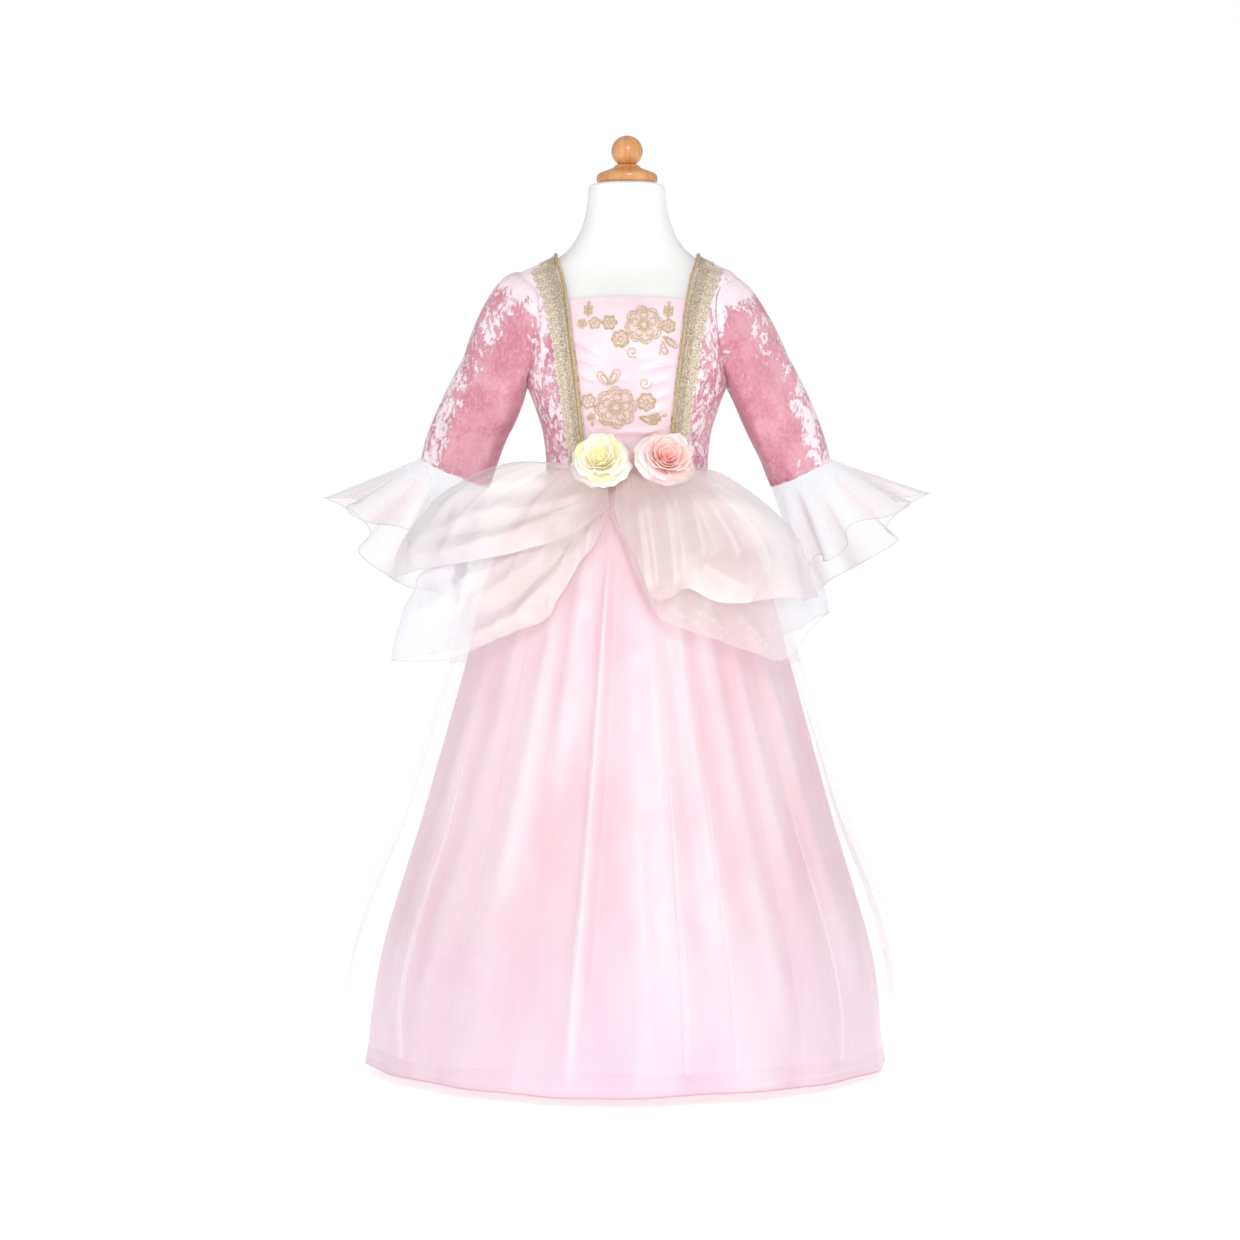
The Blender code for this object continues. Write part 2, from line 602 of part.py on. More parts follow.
def sleeve_surface(row, phi, s, lift):
    """From the armhole to the cuff: the two rings blended, with a bulge on the way."""
    sign, middle, down, out, back = sleeve_frame(row)
    hold = form_offset(np.array(sign * np.pi / 2), np.array(0.8150), np.array(0.0))
    root = armhole(phi, sign, FORM_CLEARANCE + VELVET + 2 * SEAM)
    ring_dir = np.cos(phi)[..., None] * out + np.sin(phi)[..., None] * back
    pucker = 1 - CUFF_PUCKER_DEPTH / row[4] * (0.5 - 0.5 * np.cos(CUFF_PUCKERS * phi)) * ease(4 * s - 3)
    cuff = middle + row[4] * (np.cos(phi) * pucker)[..., None] * out + row[5] * (np.sin(phi) * pucker)[..., None] * back
    from_root = root - hold
    from_root /= np.linalg.norm(from_root, axis=-1, keepdims=True)
    w = ease(s) * 0.35 + s * 0.65
    swell = 4 * s * (1 - s) * (1 - 0.35 * s)
    bulge = SLEEVE_BULGE * (0.55 + 0.65 * np.cos(phi)) * swell
    puff = row[7] * (0.5 + 0.5 * np.cos(phi)) * np.sin(np.pi * np.clip(s / 0.5, 0, 1) ** 0.8)
    point = root * (1 - w)[..., None] + cuff * w[..., None]
    facing = from_root * (1 - w)[..., None] + ring_dir * w[..., None]
    facing /= np.linalg.norm(facing, axis=-1, keepdims=True)
    return point + facing * (bulge + puff + lift)[..., None]


def make_sleeves():
    for row in CUFF_ROWS:
        phi, s = np.meshgrid(
            np.linspace(0, 2 * np.pi, SLEEVE_COLUMNS_ROUND, endpoint=False), SLEEVE_LEVELS, indexing="ij"
        )
        inner = sleeve_surface(row, phi, s, 0.0 * s)
        outer = sleeve_surface(row, phi, s, VELVET + 0.0 * s)
        wall(f"sleeve_{row[0]}", inner, outer, velvet, closed=True)


def flounce_surface(row, phi, t, lift):
    """A flared ring below the cuff, longer at the back of the arm, with waves at its edge."""
    sign, middle, down, out, back = sleeve_frame(row)
    length = FLOUNCE_LENGTH + FLOUNCE_LENGTH_OUT * np.cos(phi) + FLOUNCE_LENGTH_BACK * np.sin(phi)
    length = length + row[8] * np.exp(-(((phi - FLOUNCE_TIP_AT) / FLOUNCE_TIP_WIDTH) ** 2))
    sides = np.where(np.cos(phi) > 0, FLOUNCE_LEAN_OUTER_DEG, FLOUNCE_LEAN_INNER_DEG) * np.cos(phi) ** 2
    lean = np.radians(FLOUNCE_LEAN_DEG + sides)
    wave = FLOUNCE_WAVE * np.sin(FLOUNCE_WAVES * phi + 0.6 * np.sin(2 * phi)) * t**1.3
    room = np.where(np.cos(phi) < 0, 1 + 0.6 * np.cos(phi), 1.0)
    grow = length * np.sin(lean) * t + wave * room + lift
    drop = length * np.cos(lean) * t + SEAM
    ring = (row[4] + grow) * np.cos(phi), (row[5] + grow) * np.sin(phi)
    return middle + drop[..., None] * down + ring[0][..., None] * out + ring[1][..., None] * back


def make_flounces():
    for row in CUFF_ROWS:
        phi, t = np.meshgrid(
            np.linspace(0, 2 * np.pi, FLOUNCE_COLUMNS_ROUND, endpoint=False), FLOUNCE_LEVELS, indexing="ij"
        )
        inner = flounce_surface(row, phi, t, 0.0 * t)
        outer = flounce_surface(row, phi, t, ORGANZA + 0.0 * t)
        wall(f"flounce_{row[0]}", inner, outer, organza, closed=True)


def ridges(angle, folds):
    """The sum of round ridges at the folds' angles."""
    total = 0 * angle
    for centre, width, height in folds:
        away = (np.degrees(angle) - centre + 180) % 360 - 180
        total = total + height * np.exp(-((away / width) ** 2))
    return total


def satin_radius(angle, z):
    """The satin skirt's inner face: flared ovals with folds that grow towards the hem."""
    oval = oval_radius(
        angle, along(SKIRT_ROWS, 1, z), along(SKIRT_ROWS, 2, z), along(SKIRT_ROWS, 3, z), SKIRT_SQUARENESS
    )
    down = (WAIST_Z - z) / (WAIST_Z - HEM_Z)
    folds = (ridges(angle, SATIN_FOLDS) - 0.004) * ease(down * 1.3) * (0.45 + 0.55 * down)
    waist = form_radius(angle, WAIST_Z + 0 * z) + FORM_CLEARANCE
    near = ease((WAIST_Z - z) / 0.030)
    return waist * (1 - near) + (oval + folds) * near


def satin_surface(angle, z):
    return polar(angle, satin_radius(angle, z), z)


def net_radius(angle, z):
    """The net's inner face, outside the satin, further off at the sides."""
    gap = along(NET_GAP_ROWS, 1, z) + along(NET_GAP_ROWS, 2, z) * np.sin(angle) ** 2
    down = np.clip((WAIST_Z - z) / (WAIST_Z - HEM_Z), 0, 1)
    own = ridges(angle, NET_FOLDS) * ease(down * 1.6) * (0.35 + 0.65 * down)
    return satin_radius(angle, z) + SATIN * (1 + 0.25 * ease(down * 8)) + gap + own


def net_surface(angle, z):
    return polar(angle, net_radius(angle, z), z)


def sector(surface, thickness, start, end, columns, low, gap_radius):
    """A wall over one sector of a ring, its sides half a seam short at each end."""
    levels = np.array(SKIRT_LEVELS)
    z_line = (WAIST_Z - SEAM / 2) + (low - WAIST_Z + SEAM / 2) * levels
    angle, z = np.meshgrid(np.radians(np.linspace(start, end, columns)), z_line, indexing="ij")
    angle = angle.copy()
    turn = SEAM / gap_radius
    angle[0] += turn
    angle[-1] -= turn
    inner = surface(angle, z)
    n = normals(surface, angle, z)
    n *= np.sign((n * polar(angle, 1.0, 0 * z)).sum(-1, keepdims=True))
    return inner, inner + n * thickness


def make_skirts():
    """The satin skirt and the net over it, each in a front, two sides and a back."""
    gores = (("front", -45, 45), ("right", 45, 135), ("back", 135, 225), ("left", 225, 315))
    for name, start, end in gores:
        inner, outer = sector(satin_surface, SATIN, start, end, SKIRT_COLUMNS_EACH, HEM_Z, 0.09)
        wall(f"skirt_{name}", inner, outer, satin)
        inner, outer = sector(net_surface, NET, start, end, SKIRT_COLUMNS_EACH, NET_HEM_Z, 0.09)
        wall(f"net_{name}", inner, outer, net)


def swag_surface(name):
    """An organza swag: Bezier lines from the waist to the free edge, set round the body."""
    rows, finish = SWAG_TABLES[name], SWAG_FINISH[name]
    place = np.linspace(0, 1, len(rows))

    def surface(u, t):
        angle = np.radians(np.interp(u, place, column(rows, 0)))
        at = [across(column(rows, i), u) for i in range(1, 7)]
        start = form_radius(angle, WAIST_Z + 0 * angle) + finish["waist_lift"]
        b = [(1 - t) ** 3, 3 * t * (1 - t) ** 2, 3 * t * t * (1 - t), t**3]
        reach = b[0] * start + b[1] * at[2] + b[2] * at[4] + b[3] * at[0]
        z = b[0] * (WAIST_Z - SEAM / 2) + b[1] * at[3] + b[2] * at[5] + b[3] * at[1]
        wave = finish["wave"] * np.sin(2 * np.pi * finish["waves"] * u) * ease(t * 1.5)
        return polar(angle, reach + wave, z)

    return surface


def make_swags():
    for name in SWAG_TABLES:
        surface = swag_surface(name)
        u, t = np.meshgrid(np.linspace(0, 1, SWAG_FINISH[name]["columns"]), SWAG_LEVELS, indexing="ij")
        if name.startswith("swag_lower"):
            u = np.clip(u, 0, 1 - 0.0006)
        inner = surface(u, t)
        n = normals(surface, np.clip(u, 2e-4, 1 - 2e-4), np.clip(t, 2e-5, 1 - 2e-5))
        facing = np.stack([inner[..., 0], inner[..., 1], 0.06 + 0 * u], -1)
        n *= np.sign((n * facing).sum(-1, keepdims=True))
        wall(name, inner, inner + n * ORGANZA, organza)


def make_trims():
    """Gold lace along each neckline edge, and a gold cord beside it."""
    for side, sign in (("right", 1), ("left", -1)):
        count = LACE_SCALLOPS * 2 + 1
        z = np.interp(
            np.linspace(0, 1, count), [0, 0.8, 1], [WAIST_Z + 0.002, 0.868, SHOULDER_Z - 0.0008]
        )
        edge = neck_edge_angle(z)
        high = (z - WAIST_Z) / (SHOULDER_Z - WAIST_Z)
        inner_x = 0.0050
        width = LACE_WIDTH + (LACE_WIDTH_TOP - LACE_WIDTH) * high
        width = width + LACE_SCALLOP * np.where(np.arange(count) % 2, 1.0, -1.0)
        narrow = 1 - 0.55 * ease((z - 0.872) / 0.022)
        drop = ease((z - 0.850) / 0.040) * 0.5
        share = np.linspace(0, 1, 3)
        across_m = inner_x + (width[:, None] * narrow[:, None] - inner_x) * share
        radius = form_radius(edge, z)[:, None]
        angle = edge[:, None] + across_m / radius * (1 - drop[:, None])
        angle = np.minimum(angle, np.pi / 2 - 0.004)
        z_grid = z[:, None] - drop[:, None] * across_m * 0.55
        lift = FORM_CLEARANCE + VELVET + LACE_LIFT
        inner, outer = body_patch(sign * angle, z_grid, lift, TRIM)
        wall(f"lace_{side}", inner, outer, gold)
        cord(f"cord_{side}", sign)


def cord(name, sign):
    """A round cord on the join between a front and the centre panel."""
    z = np.interp(np.linspace(0, 1, CORD_POINTS), [0, 0.75, 1], [WAIST_Z + 0.003, 0.855, SHOULDER_Z - 0.001])
    angle = neck_edge_angle(z) + 0.0018 / form_radius(neck_edge_angle(z), z)
    angle = np.minimum(angle, np.pi / 2 - 0.012)
    lift = FORM_CLEARANCE + VELVET + CORD_LIFT + CORD_RADIUS
    points = form_offset(sign * angle, z, lift + 0 * z)
    curve = bpy.data.curves.new(name, "CURVE")
    curve.dimensions = "3D"
    curve.bevel_depth = CORD_RADIUS
    curve.bevel_resolution = 1
    curve.use_fill_caps = True
    spline = curve.splines.new("POLY")
    spline.points.add(len(points) - 1)
    for target, point in zip(spline.points, points):
        target.co = (*point, 1.0)
    obj = bpy.data.objects.new(name, curve)
    parts.objects.link(obj)
    curve.materials.append(gold)


def rose_axes(row):
    """The rose's middle and its three ways: right, up and out of its face."""
    tilt, turn = np.radians(row[4]), np.radians(row[5])
    out = np.array([np.sin(turn) * np.cos(tilt), -np.cos(turn) * np.cos(tilt), np.sin(tilt)])
    right = np.cross(np.array([0, 0, 1.0]), out) * -1
    right /= np.linalg.norm(right)
    return np.array(row[1:4]), right, np.cross(out, right) * -1, out


def make_roses():
    """Each rose is three lobed cups, one in another, round a bud."""
    for row in ROSE_ROWS:
        middle, right, up, out = rose_axes(row)
        material = cream if row[0] == "rose_cream" else pink
        for name, radius, depth, base, lobes, lobe, spin in CUP_ROWS:
            phi, t = np.meshgrid(np.linspace(0, 2 * np.pi, 16, endpoint=False), (0.0, 0.34, 0.68, 1.0), indexing="ij")
            petals = 1 + lobe * np.cos(lobes * phi + np.radians(spin)) * t**2
            r = (0.0035 + (radius - 0.0035) * t**0.9) * petals
            h = base + depth * t**2.1 * (1 - 0.18 * np.cos(lobes * phi + np.radians(spin)))

            def place(radial, height):
                flat = radial[..., None] * (np.cos(phi)[..., None] * right + np.sin(phi)[..., None] * up)
                return middle + flat + height[..., None] * out

            lower = place(r, h)
            upper = place(r, h + PETAL)
            disc_wall(f"{row[0]}_{name}", lower, upper, middle + base * out, out * PETAL, material)
        phi, t = np.meshgrid(np.linspace(0, 2 * np.pi, 10, endpoint=False), (0.0, 0.4, 0.8, 1.0), indexing="ij")
        r = HEART_RADIUS * np.array([0.45, 0.95, 0.80, 0.35])[None, :] + 0 * phi
        h = 0.0045 + HEART_HEIGHT * t
        flat = r[..., None] * (np.cos(phi)[..., None] * right + np.sin(phi)[..., None] * up)
        solid_loft(f"{row[0]}_heart", np.swapaxes(middle + flat + h[..., None] * out, 0, 1), material)


def disc_wall(name, lower, upper, middle, thick, material):
    """A wall whose rings close on a middle point: a cup or a flat motif."""
    rows, cols = lower.shape[:2]
    points = list(lower.reshape(-1, 3)) + list(upper.reshape(-1, 3)) + [middle, middle + thick]
    count = rows * cols
    faces = []
    for i in range(rows):
        k = (i + 1) % rows
        for j in range(cols - 1):
            a, b, c, d = i * cols + j, k * cols + j, k * cols + j + 1, i * cols + j + 1
            faces += [(a, b, c), (a, c, d), (count + a, count + c, count + b), (count + a, count + d, count + c)]
        a, b = i * cols + cols - 1, k * cols + cols - 1
        faces += [(a, b, count + b), (a, count + b, count + a)]
        a, b = i * cols, k * cols
        faces += [(2 * count, b, a), (2 * count + 1, count + a, count + b)]
    if signed_volume(points, faces) < 0:
        faces = [face[::-1] for face in faces]
    obj = mesh_object(name, points, faces, material)
    obj.data.shade_smooth()
    return obj


def make_motifs():
    """Flat embroidered flowers and leaves that follow the centre panel's face."""
    for name, x, z, radius, petals, petal, leaf_degs, leaf in MOTIF_ROWS:
        phi, t = np.meshgrid(np.linspace(0, 2 * np.pi, 20, endpoint=False), (0.5, 1.0), indexing="ij")
        edge = 1 + petal * np.cos(petals * phi)
        for degrees in leaf_degs:
            away = (np.degrees(phi) - degrees + 180) % 360 - 180
            edge = edge + leaf * np.exp(-((away / 17) ** 2))
        lower, upper = [], []
        for lift, target in ((MOTIF_LIFT, lower), (MOTIF_LIFT + MOTIF_THICK, upper)):
            px = x + radius * edge * t * np.cos(phi)
            pz = z + radius * edge * t * np.sin(phi)
            target.append(on_centre(px, pz, lift))
        middle = on_centre(np.array(x), np.array(z), MOTIF_LIFT)
        top = on_centre(np.array(x), np.array(z), MOTIF_LIFT + MOTIF_THICK)
        disc_wall(name, lower[0], upper[0], middle, top - middle, gold)


def on_centre(x, z, lift):
    """A point this far off the centre panel's outer face, from its place in the front view."""
    half_width, front = along(FORM_ROWS, 1, z), along(FORM_ROWS, 2, z)
    y = front * (1 - np.abs(x / half_width) ** FORM_SQUARENESS) ** (1 / FORM_SQUARENESS)
    angle = np.arctan2(x, y)
    return form_offset(angle, z, centre_lift(angle, z) + lift)


clear_scene()
parts = bpy.data.collections.new("princess_dress_on_form")
bpy.context.scene.collection.children.link(parts)
velvet = rgb("pink crushed velvet", (0.86, 0.46, 0.55), 0.55)
satin = rgb("pale pink satin", (0.93, 0.74, 0.80), 0.30)
net = rgb("white net", (0.96, 0.95, 0.96), 0.70)
organza = rgb("ivory organza", (0.95, 0.92, 0.88), 0.45)
gold = rgb("gold metallic lace", (0.72, 0.62, 0.42), 0.40, 0.5)
cream = rgb("cream rose", (0.95, 0.91, 0.70), 0.60)
pink = rgb("pink rose", (0.93, 0.62, 0.62), 0.60)
jersey = rgb("white jersey", (0.93, 0.93, 0.91), 0.80)
wood = rgb("varnished beech", (0.72, 0.42, 0.18), 0.30)
make_form()
make_bodice()
make_sleeves()
make_flounces()
make_skirts()
make_swags()
make_trims()
make_roses()
make_motifs()
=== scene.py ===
# %% [markdown]
# # A child's princess dress on a dress form
#
# The CAD model gives the dress its true sizes as plain walls. This lesson lays the real
# cloth over it: crushed velvet, satin, organza, net, gold lace and cloth roses. Every piece
# is a surface worked out with numpy, so each fold is a term in a formula and can be moved.
# Everything is in metres, +Z is up, and the dress faces -Y.

import bmesh
import bpy
import numpy as np
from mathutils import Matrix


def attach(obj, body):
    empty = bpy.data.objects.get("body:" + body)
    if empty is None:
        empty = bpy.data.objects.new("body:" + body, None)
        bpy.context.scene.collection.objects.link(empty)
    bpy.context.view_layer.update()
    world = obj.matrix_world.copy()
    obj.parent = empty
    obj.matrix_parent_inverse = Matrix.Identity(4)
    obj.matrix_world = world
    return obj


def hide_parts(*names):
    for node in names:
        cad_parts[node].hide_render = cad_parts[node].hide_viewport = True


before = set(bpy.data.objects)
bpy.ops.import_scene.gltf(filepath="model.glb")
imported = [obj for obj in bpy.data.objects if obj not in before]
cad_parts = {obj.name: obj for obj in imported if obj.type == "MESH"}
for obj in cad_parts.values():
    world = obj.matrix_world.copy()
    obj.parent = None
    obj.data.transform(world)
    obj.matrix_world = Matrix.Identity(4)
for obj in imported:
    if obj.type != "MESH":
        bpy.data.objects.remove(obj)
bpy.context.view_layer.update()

# %% [markdown]
# ## Curves through tables
#
# A pattern cutter keeps a table: this wide at the waist, this wide at the hem. Here a smooth
# curve is drawn through each column of such a table. A Bezier curve object could do it too,
# but a Hermite curve is one line of arithmetic for a whole array of heights at once.


# %% Curve helpers
def column(rows, index):
    return np.array([row[index] for row in rows], float)


def along(rows, index, at, key=0):
    """Hermite curve: y = blend of the two nearest rows plus their slopes times t(1-t)."""
    x, y = column(rows, key), column(rows, index)
    slope = np.gradient(y, x)
    at = np.clip(np.asarray(at, float), x.min(), x.max())
    i = np.clip(np.searchsorted(x, at, side="right") - 1, 0, len(x) - 2)
    h = x[i + 1] - x[i]
    t = (at - x[i]) / h
    rise = (1 + 2 * t) * (1 - t) ** 2 * y[i] + t * t * (3 - 2 * t) * y[i + 1]
    lean = t * (1 - t) ** 2 * slope[i] - t * t * (1 - t) * slope[i + 1]
    return rise + h * lean


def across(values, at):
    """The same curve through evenly spaced values, read from 0 to 1."""
    return along(tuple(zip(np.linspace(0, 1, len(values)), values)), 1, at)


def ease(t):
    """0 below 0, 1 above 1, and 3t^2 - 2t^3 between them."""
    t = np.clip(t, 0, 1)
    return t * t * (3 - 2 * t)


def ridge(x, centre, width):
    """A round ridge: e to the minus square of the distance over the width."""
    return np.exp(-(((x - centre) / width) ** 2))


def wander(x, seed, lowest=1, waves=5):
    """Uneven waves from -1 to 1: a mean of sines of rising whole frequency and set phase."""
    k = lowest + np.arange(waves)
    phase = np.random.default_rng(seed).uniform(0, 2 * np.pi, waves)
    return np.clip(1.7 * np.sin(np.asarray(x)[..., None] * k + phase).mean(-1), -1, 1)


# %% [markdown]
# ## The form's sections
#
# A dress form is a stack of rounded ovals. Each row below is one oval: its half width, and
# how far it reaches to the front and to the back. The oval itself is a superellipse,
# |x/w|^n + |y/d|^n = 1, because a chest is squarer than an ellipse. Cloth that lies on the
# body is the same surface moved out along its normal.

# %% Tables and the form's surface
FORM_COLUMNS = ("z", "half_width", "front", "back")
FORM_ROWS = (
    (0.5500, 0.1020, 0.080, 0.086),
    (0.5560, 0.1050, 0.083, 0.089),
    (0.6000, 0.0970, 0.077, 0.081),
    (0.6400, 0.0885, 0.072, 0.074),
    (0.6600, 0.0865, 0.071, 0.072),
    (0.6850, 0.0875, 0.072, 0.073),
    (0.7150, 0.0930, 0.075, 0.076),
    (0.7350, 0.1000, 0.078, 0.079),
    (0.7540, 0.1070, 0.080, 0.081),
    (0.7900, 0.1130, 0.080, 0.083),
    (0.8200, 0.1165, 0.075, 0.081),
    (0.8450, 0.1190, 0.065, 0.073),
    (0.8600, 0.1190, 0.056, 0.064),
    (0.8720, 0.1145, 0.049, 0.056),
    (0.8810, 0.1020, 0.045, 0.050),
    (0.8880, 0.0870, 0.044, 0.047),
    (0.8955, 0.0745, 0.043, 0.046),
    (0.9040, 0.0640, 0.042, 0.045),
    (0.9140, 0.0560, 0.041, 0.044),
    (0.9270, 0.0500, 0.040, 0.042),
    (0.9420, 0.0455, 0.040, 0.041),
    (0.9580, 0.0430, 0.040, 0.040),
    (0.9680, 0.0420, 0.040, 0.040),
    (0.9730, 0.0395, 0.038, 0.038),
    (0.9745, 0.0345, 0.034, 0.034),
)
SQUARENESS = 2.35
WAIST_Z, HEM_Z, NET_HEM_Z, SHOULDER_Z = 0.6600, 0.0080, 0.0380, 0.8955
CLEARANCE, VELVET, SATIN, SEAM = 0.0008, 0.0015, 0.0012, 0.0003
TORSO_INSET = 0.0010


def polar(angle, radius, z):
    """Angle 0 is straight ahead (-Y) and grows towards +X."""
    return np.stack([radius * np.sin(angle), -radius * np.cos(angle), z + 0 * angle], -1)


def oval_radius(angle, half_width, front, back, squareness):
    """r = (|sin|/w)^n + (|cos|/d)^n, all to the power -1/n."""
    side, ahead = np.abs(np.sin(angle)), np.cos(angle)
    depth = np.where(ahead >= 0, front, back)
    return ((side / half_width) ** squareness + (np.abs(ahead) / depth) ** squareness) ** (-1 / squareness)


def form_radius(angle, z):
    sizes = [along(FORM_ROWS, i, z) for i in (1, 2, 3)]
    return oval_radius(angle, *sizes, SQUARENESS)


def form_surface(angle, z):
    return polar(angle, form_radius(angle, z), z)


def normals(surface, a, b, step=(1e-4, 1e-5)):
    """The cross product of the surface's two slopes, made one metre long."""
    da = surface(a + step[0], b) - surface(a - step[0], b)
    db = surface(a, b + step[1]) - surface(a, b - step[1])
    n = np.cross(da, db)
    return n / np.maximum(np.linalg.norm(n, axis=-1, keepdims=True), 1e-12)


def on_form(angle, z, lift):
    """A point this far off the form, along its outward normal."""
    n = normals(form_surface, angle, z)
    outward = np.sign((n * polar(angle, 1.0, 0 * z)).sum(-1, keepdims=True))
    return form_surface(angle, z) + n * outward * np.asarray(lift)[..., None]


print("waist", round(float(2 * along(FORM_ROWS, 1, WAIST_Z)) * 1000), "mm wide")

# %% [markdown]
# ## From a grid of numbers to a mesh
#
# A piece is one or more grids of points. The faces between neighbouring points are worked
# out for the whole grid at once. Each grid also gets a UV map in real metres, measured along
# the cloth, so a weave has the same size on every piece.


# %% Mesh helpers
def closed_grid(points, wrap_rows, wrap_cols):
    if wrap_rows:
        points = np.concatenate([points, points[:1]], 0)
    if wrap_cols:
        points = np.concatenate([points, points[:, :1]], 1)
    return points


def arc_lengths(points):
    """Metres along each grid line from its first point, in both directions."""
    u, v = np.zeros(points.shape[:2]), np.zeros(points.shape[:2])
    u[1:] = np.cumsum(np.linalg.norm(np.diff(points, axis=0), axis=-1), 0)
    v[:, 1:] = np.cumsum(np.linalg.norm(np.diff(points, axis=1), axis=-1), 1)
    return u, v


def corners(index):
    a = [index[:-1, :-1], index[1:, :-1], index[1:, 1:], index[:-1, 1:]]
    return np.stack(a, -1).reshape(-1, 4)


def patch(points, inside, wrap_rows=False, wrap_cols=False):
    """One grid of a piece: its points, its quads turned outwards, and a UV pair per corner."""
    rows, cols = points.shape[:2]
    index = closed_grid(np.arange(rows * cols).reshape(rows, cols, 1), wrap_rows, wrap_cols)[..., 0]
    full = closed_grid(points, wrap_rows, wrap_cols)
    quads, places = corners(index), corners(np.arange(full[..., 0].size).reshape(full.shape[:2]))
    p = points.reshape(-1, 3)
    n = np.cross(p[quads[:, 2]] - p[quads[:, 0]], p[quads[:, 3]] - p[quads[:, 1]])
    away = p - np.broadcast_to(inside, points.shape).reshape(-1, 3)
    if (n * away[quads[:, 0]]).sum() < 0:
        quads, places = quads[:, ::-1], places[:, ::-1]
    uv = np.stack(arc_lengths(full), -1).reshape(-1, 2)[places.reshape(-1)]
    return p, quads, uv


def axis_of(points):
    """For cloth round the body: the inside is the form's axis at the same height."""
    return points * np.array([0.0, 0.0, 1.0])


def weld(mesh):
    """Points of a grid that lie on one spot, as at a pole or a tube's end, become one point."""
    cloth = bmesh.new()
    cloth.from_mesh(mesh)
    bmesh.ops.remove_doubles(cloth, verts=cloth.verts, dist=1e-7)
    cloth.to_mesh(mesh)
    cloth.free()


def sew(name, patches, material, nodes=(), marks=None, thick=0.0):
    """Joins patches into one piece, gives it its material and lets it stand for CAD nodes."""
    start = np.cumsum([0] + [len(p) for p, _, _ in patches])
    points = np.concatenate([p for p, _, _ in patches])
    quads = np.concatenate([q + s for (_, q, _), s in zip(patches, start)])
    mesh = bpy.data.meshes.new(name)
    mesh.from_pydata(points.tolist(), [], quads.tolist())
    mesh.uv_layers.new(name="cut").data.foreach_set("uv", np.concatenate([u for _, _, u in patches]).ravel())
    for mark, values in (marks or {}).items():
        mesh.attributes.new(mark, "FLOAT", "POINT").data.foreach_set("value", np.ravel(values).astype(np.float32))
    weld(mesh)
    mesh.shade_smooth()
    mesh.materials.append(material)
    piece = bpy.data.objects.new(name, mesh)
    bpy.context.scene.collection.objects.link(piece)
    if thick:
        wall = piece.modifiers.new("cloth thickness", "SOLIDIFY")
        wall.thickness = thick
        wall.offset = 1.0
    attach(piece, "root")
    if nodes:
        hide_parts(*nodes)
    print(f"{name}: {len(quads) * 2} triangles")
    return piece


def declare_sheet(points, wrap_rows=False):
    """The cut is as wide and long as the cloth's longest grid lines, with the area of its quads."""
    full = closed_grid(points, wrap_rows, False)
    u, v = arc_lengths(full)
    diagonals = full[1:, 1:] - full[:-1, :-1], full[:-1, 1:] - full[1:, :-1]
    area = np.linalg.norm(np.cross(*diagonals), axis=-1).sum() / 2
    flat = float(u[-1].max()), float(v[:, -1].max())
    area = min(area, flat[0] * flat[1])
    print(f"  cut {flat[0] * 1000:.0f} x {flat[1] * 1000:.0f} mm, {area:.3f} square metres")


def tube(path, radius, sides=8, lean=(0.0, 0.0, 1.0), closed=False):
    """A round tube: at each point a ring across the path, radius times (cos, sin)."""
    step = np.roll(path, -1, 0) - np.roll(path, 1, 0) if closed else np.gradient(path, axis=0)
    step = step / np.linalg.norm(step, axis=-1, keepdims=True)
    side = np.cross(step, np.broadcast_to(lean, path.shape))
    side = side / np.maximum(np.linalg.norm(side, axis=-1, keepdims=True), 1e-9)
    over = np.cross(side, step)
    turn = np.linspace(0, 2 * np.pi, sides, endpoint=False)[:, None, None]
    size = np.broadcast_to(radius, path.shape[:1])[None, :, None]
    if not closed:
        ends = np.minimum(np.arange(len(path)), np.arange(len(path))[::-1])
        size = size * np.clip(ends / 1.5, 0, 1)[None, :, None] ** 0.5
    ring = path[None] + size * (np.cos(turn) * side[None] + np.sin(turn) * over[None])
    return patch(ring, path[None], wrap_rows=True, wrap_cols=closed)


# %% [markdown]
# ## Shader tools
#
# Several cloths share the same effects: threads that cross, and slow changes of tone. Each
# effect is a node group with named inputs and outputs. It is built once and placed in each
# material with its own values. Only colours, masks and heights leave a group.


# %% Node helpers
def new_group(name, ins, outs):
    """A shader node group with float, vector or colour sockets."""
    kinds = {"value": "NodeSocketFloat", "vector": "NodeSocketVector", "colour": "NodeSocketColor"}
    group = bpy.data.node_groups.new(name, "ShaderNodeTree")
    for label, kind, start in ins:
        socket = group.interface.new_socket(name=label, in_out="INPUT", socket_type=kinds[kind])
        if start is not None:
            socket.default_value = start
    for label, kind in outs:
        group.interface.new_socket(name=label, in_out="OUTPUT", socket_type=kinds[kind])
    return group, group.nodes.new("NodeGroupInput"), group.nodes.new("NodeGroupOutput")


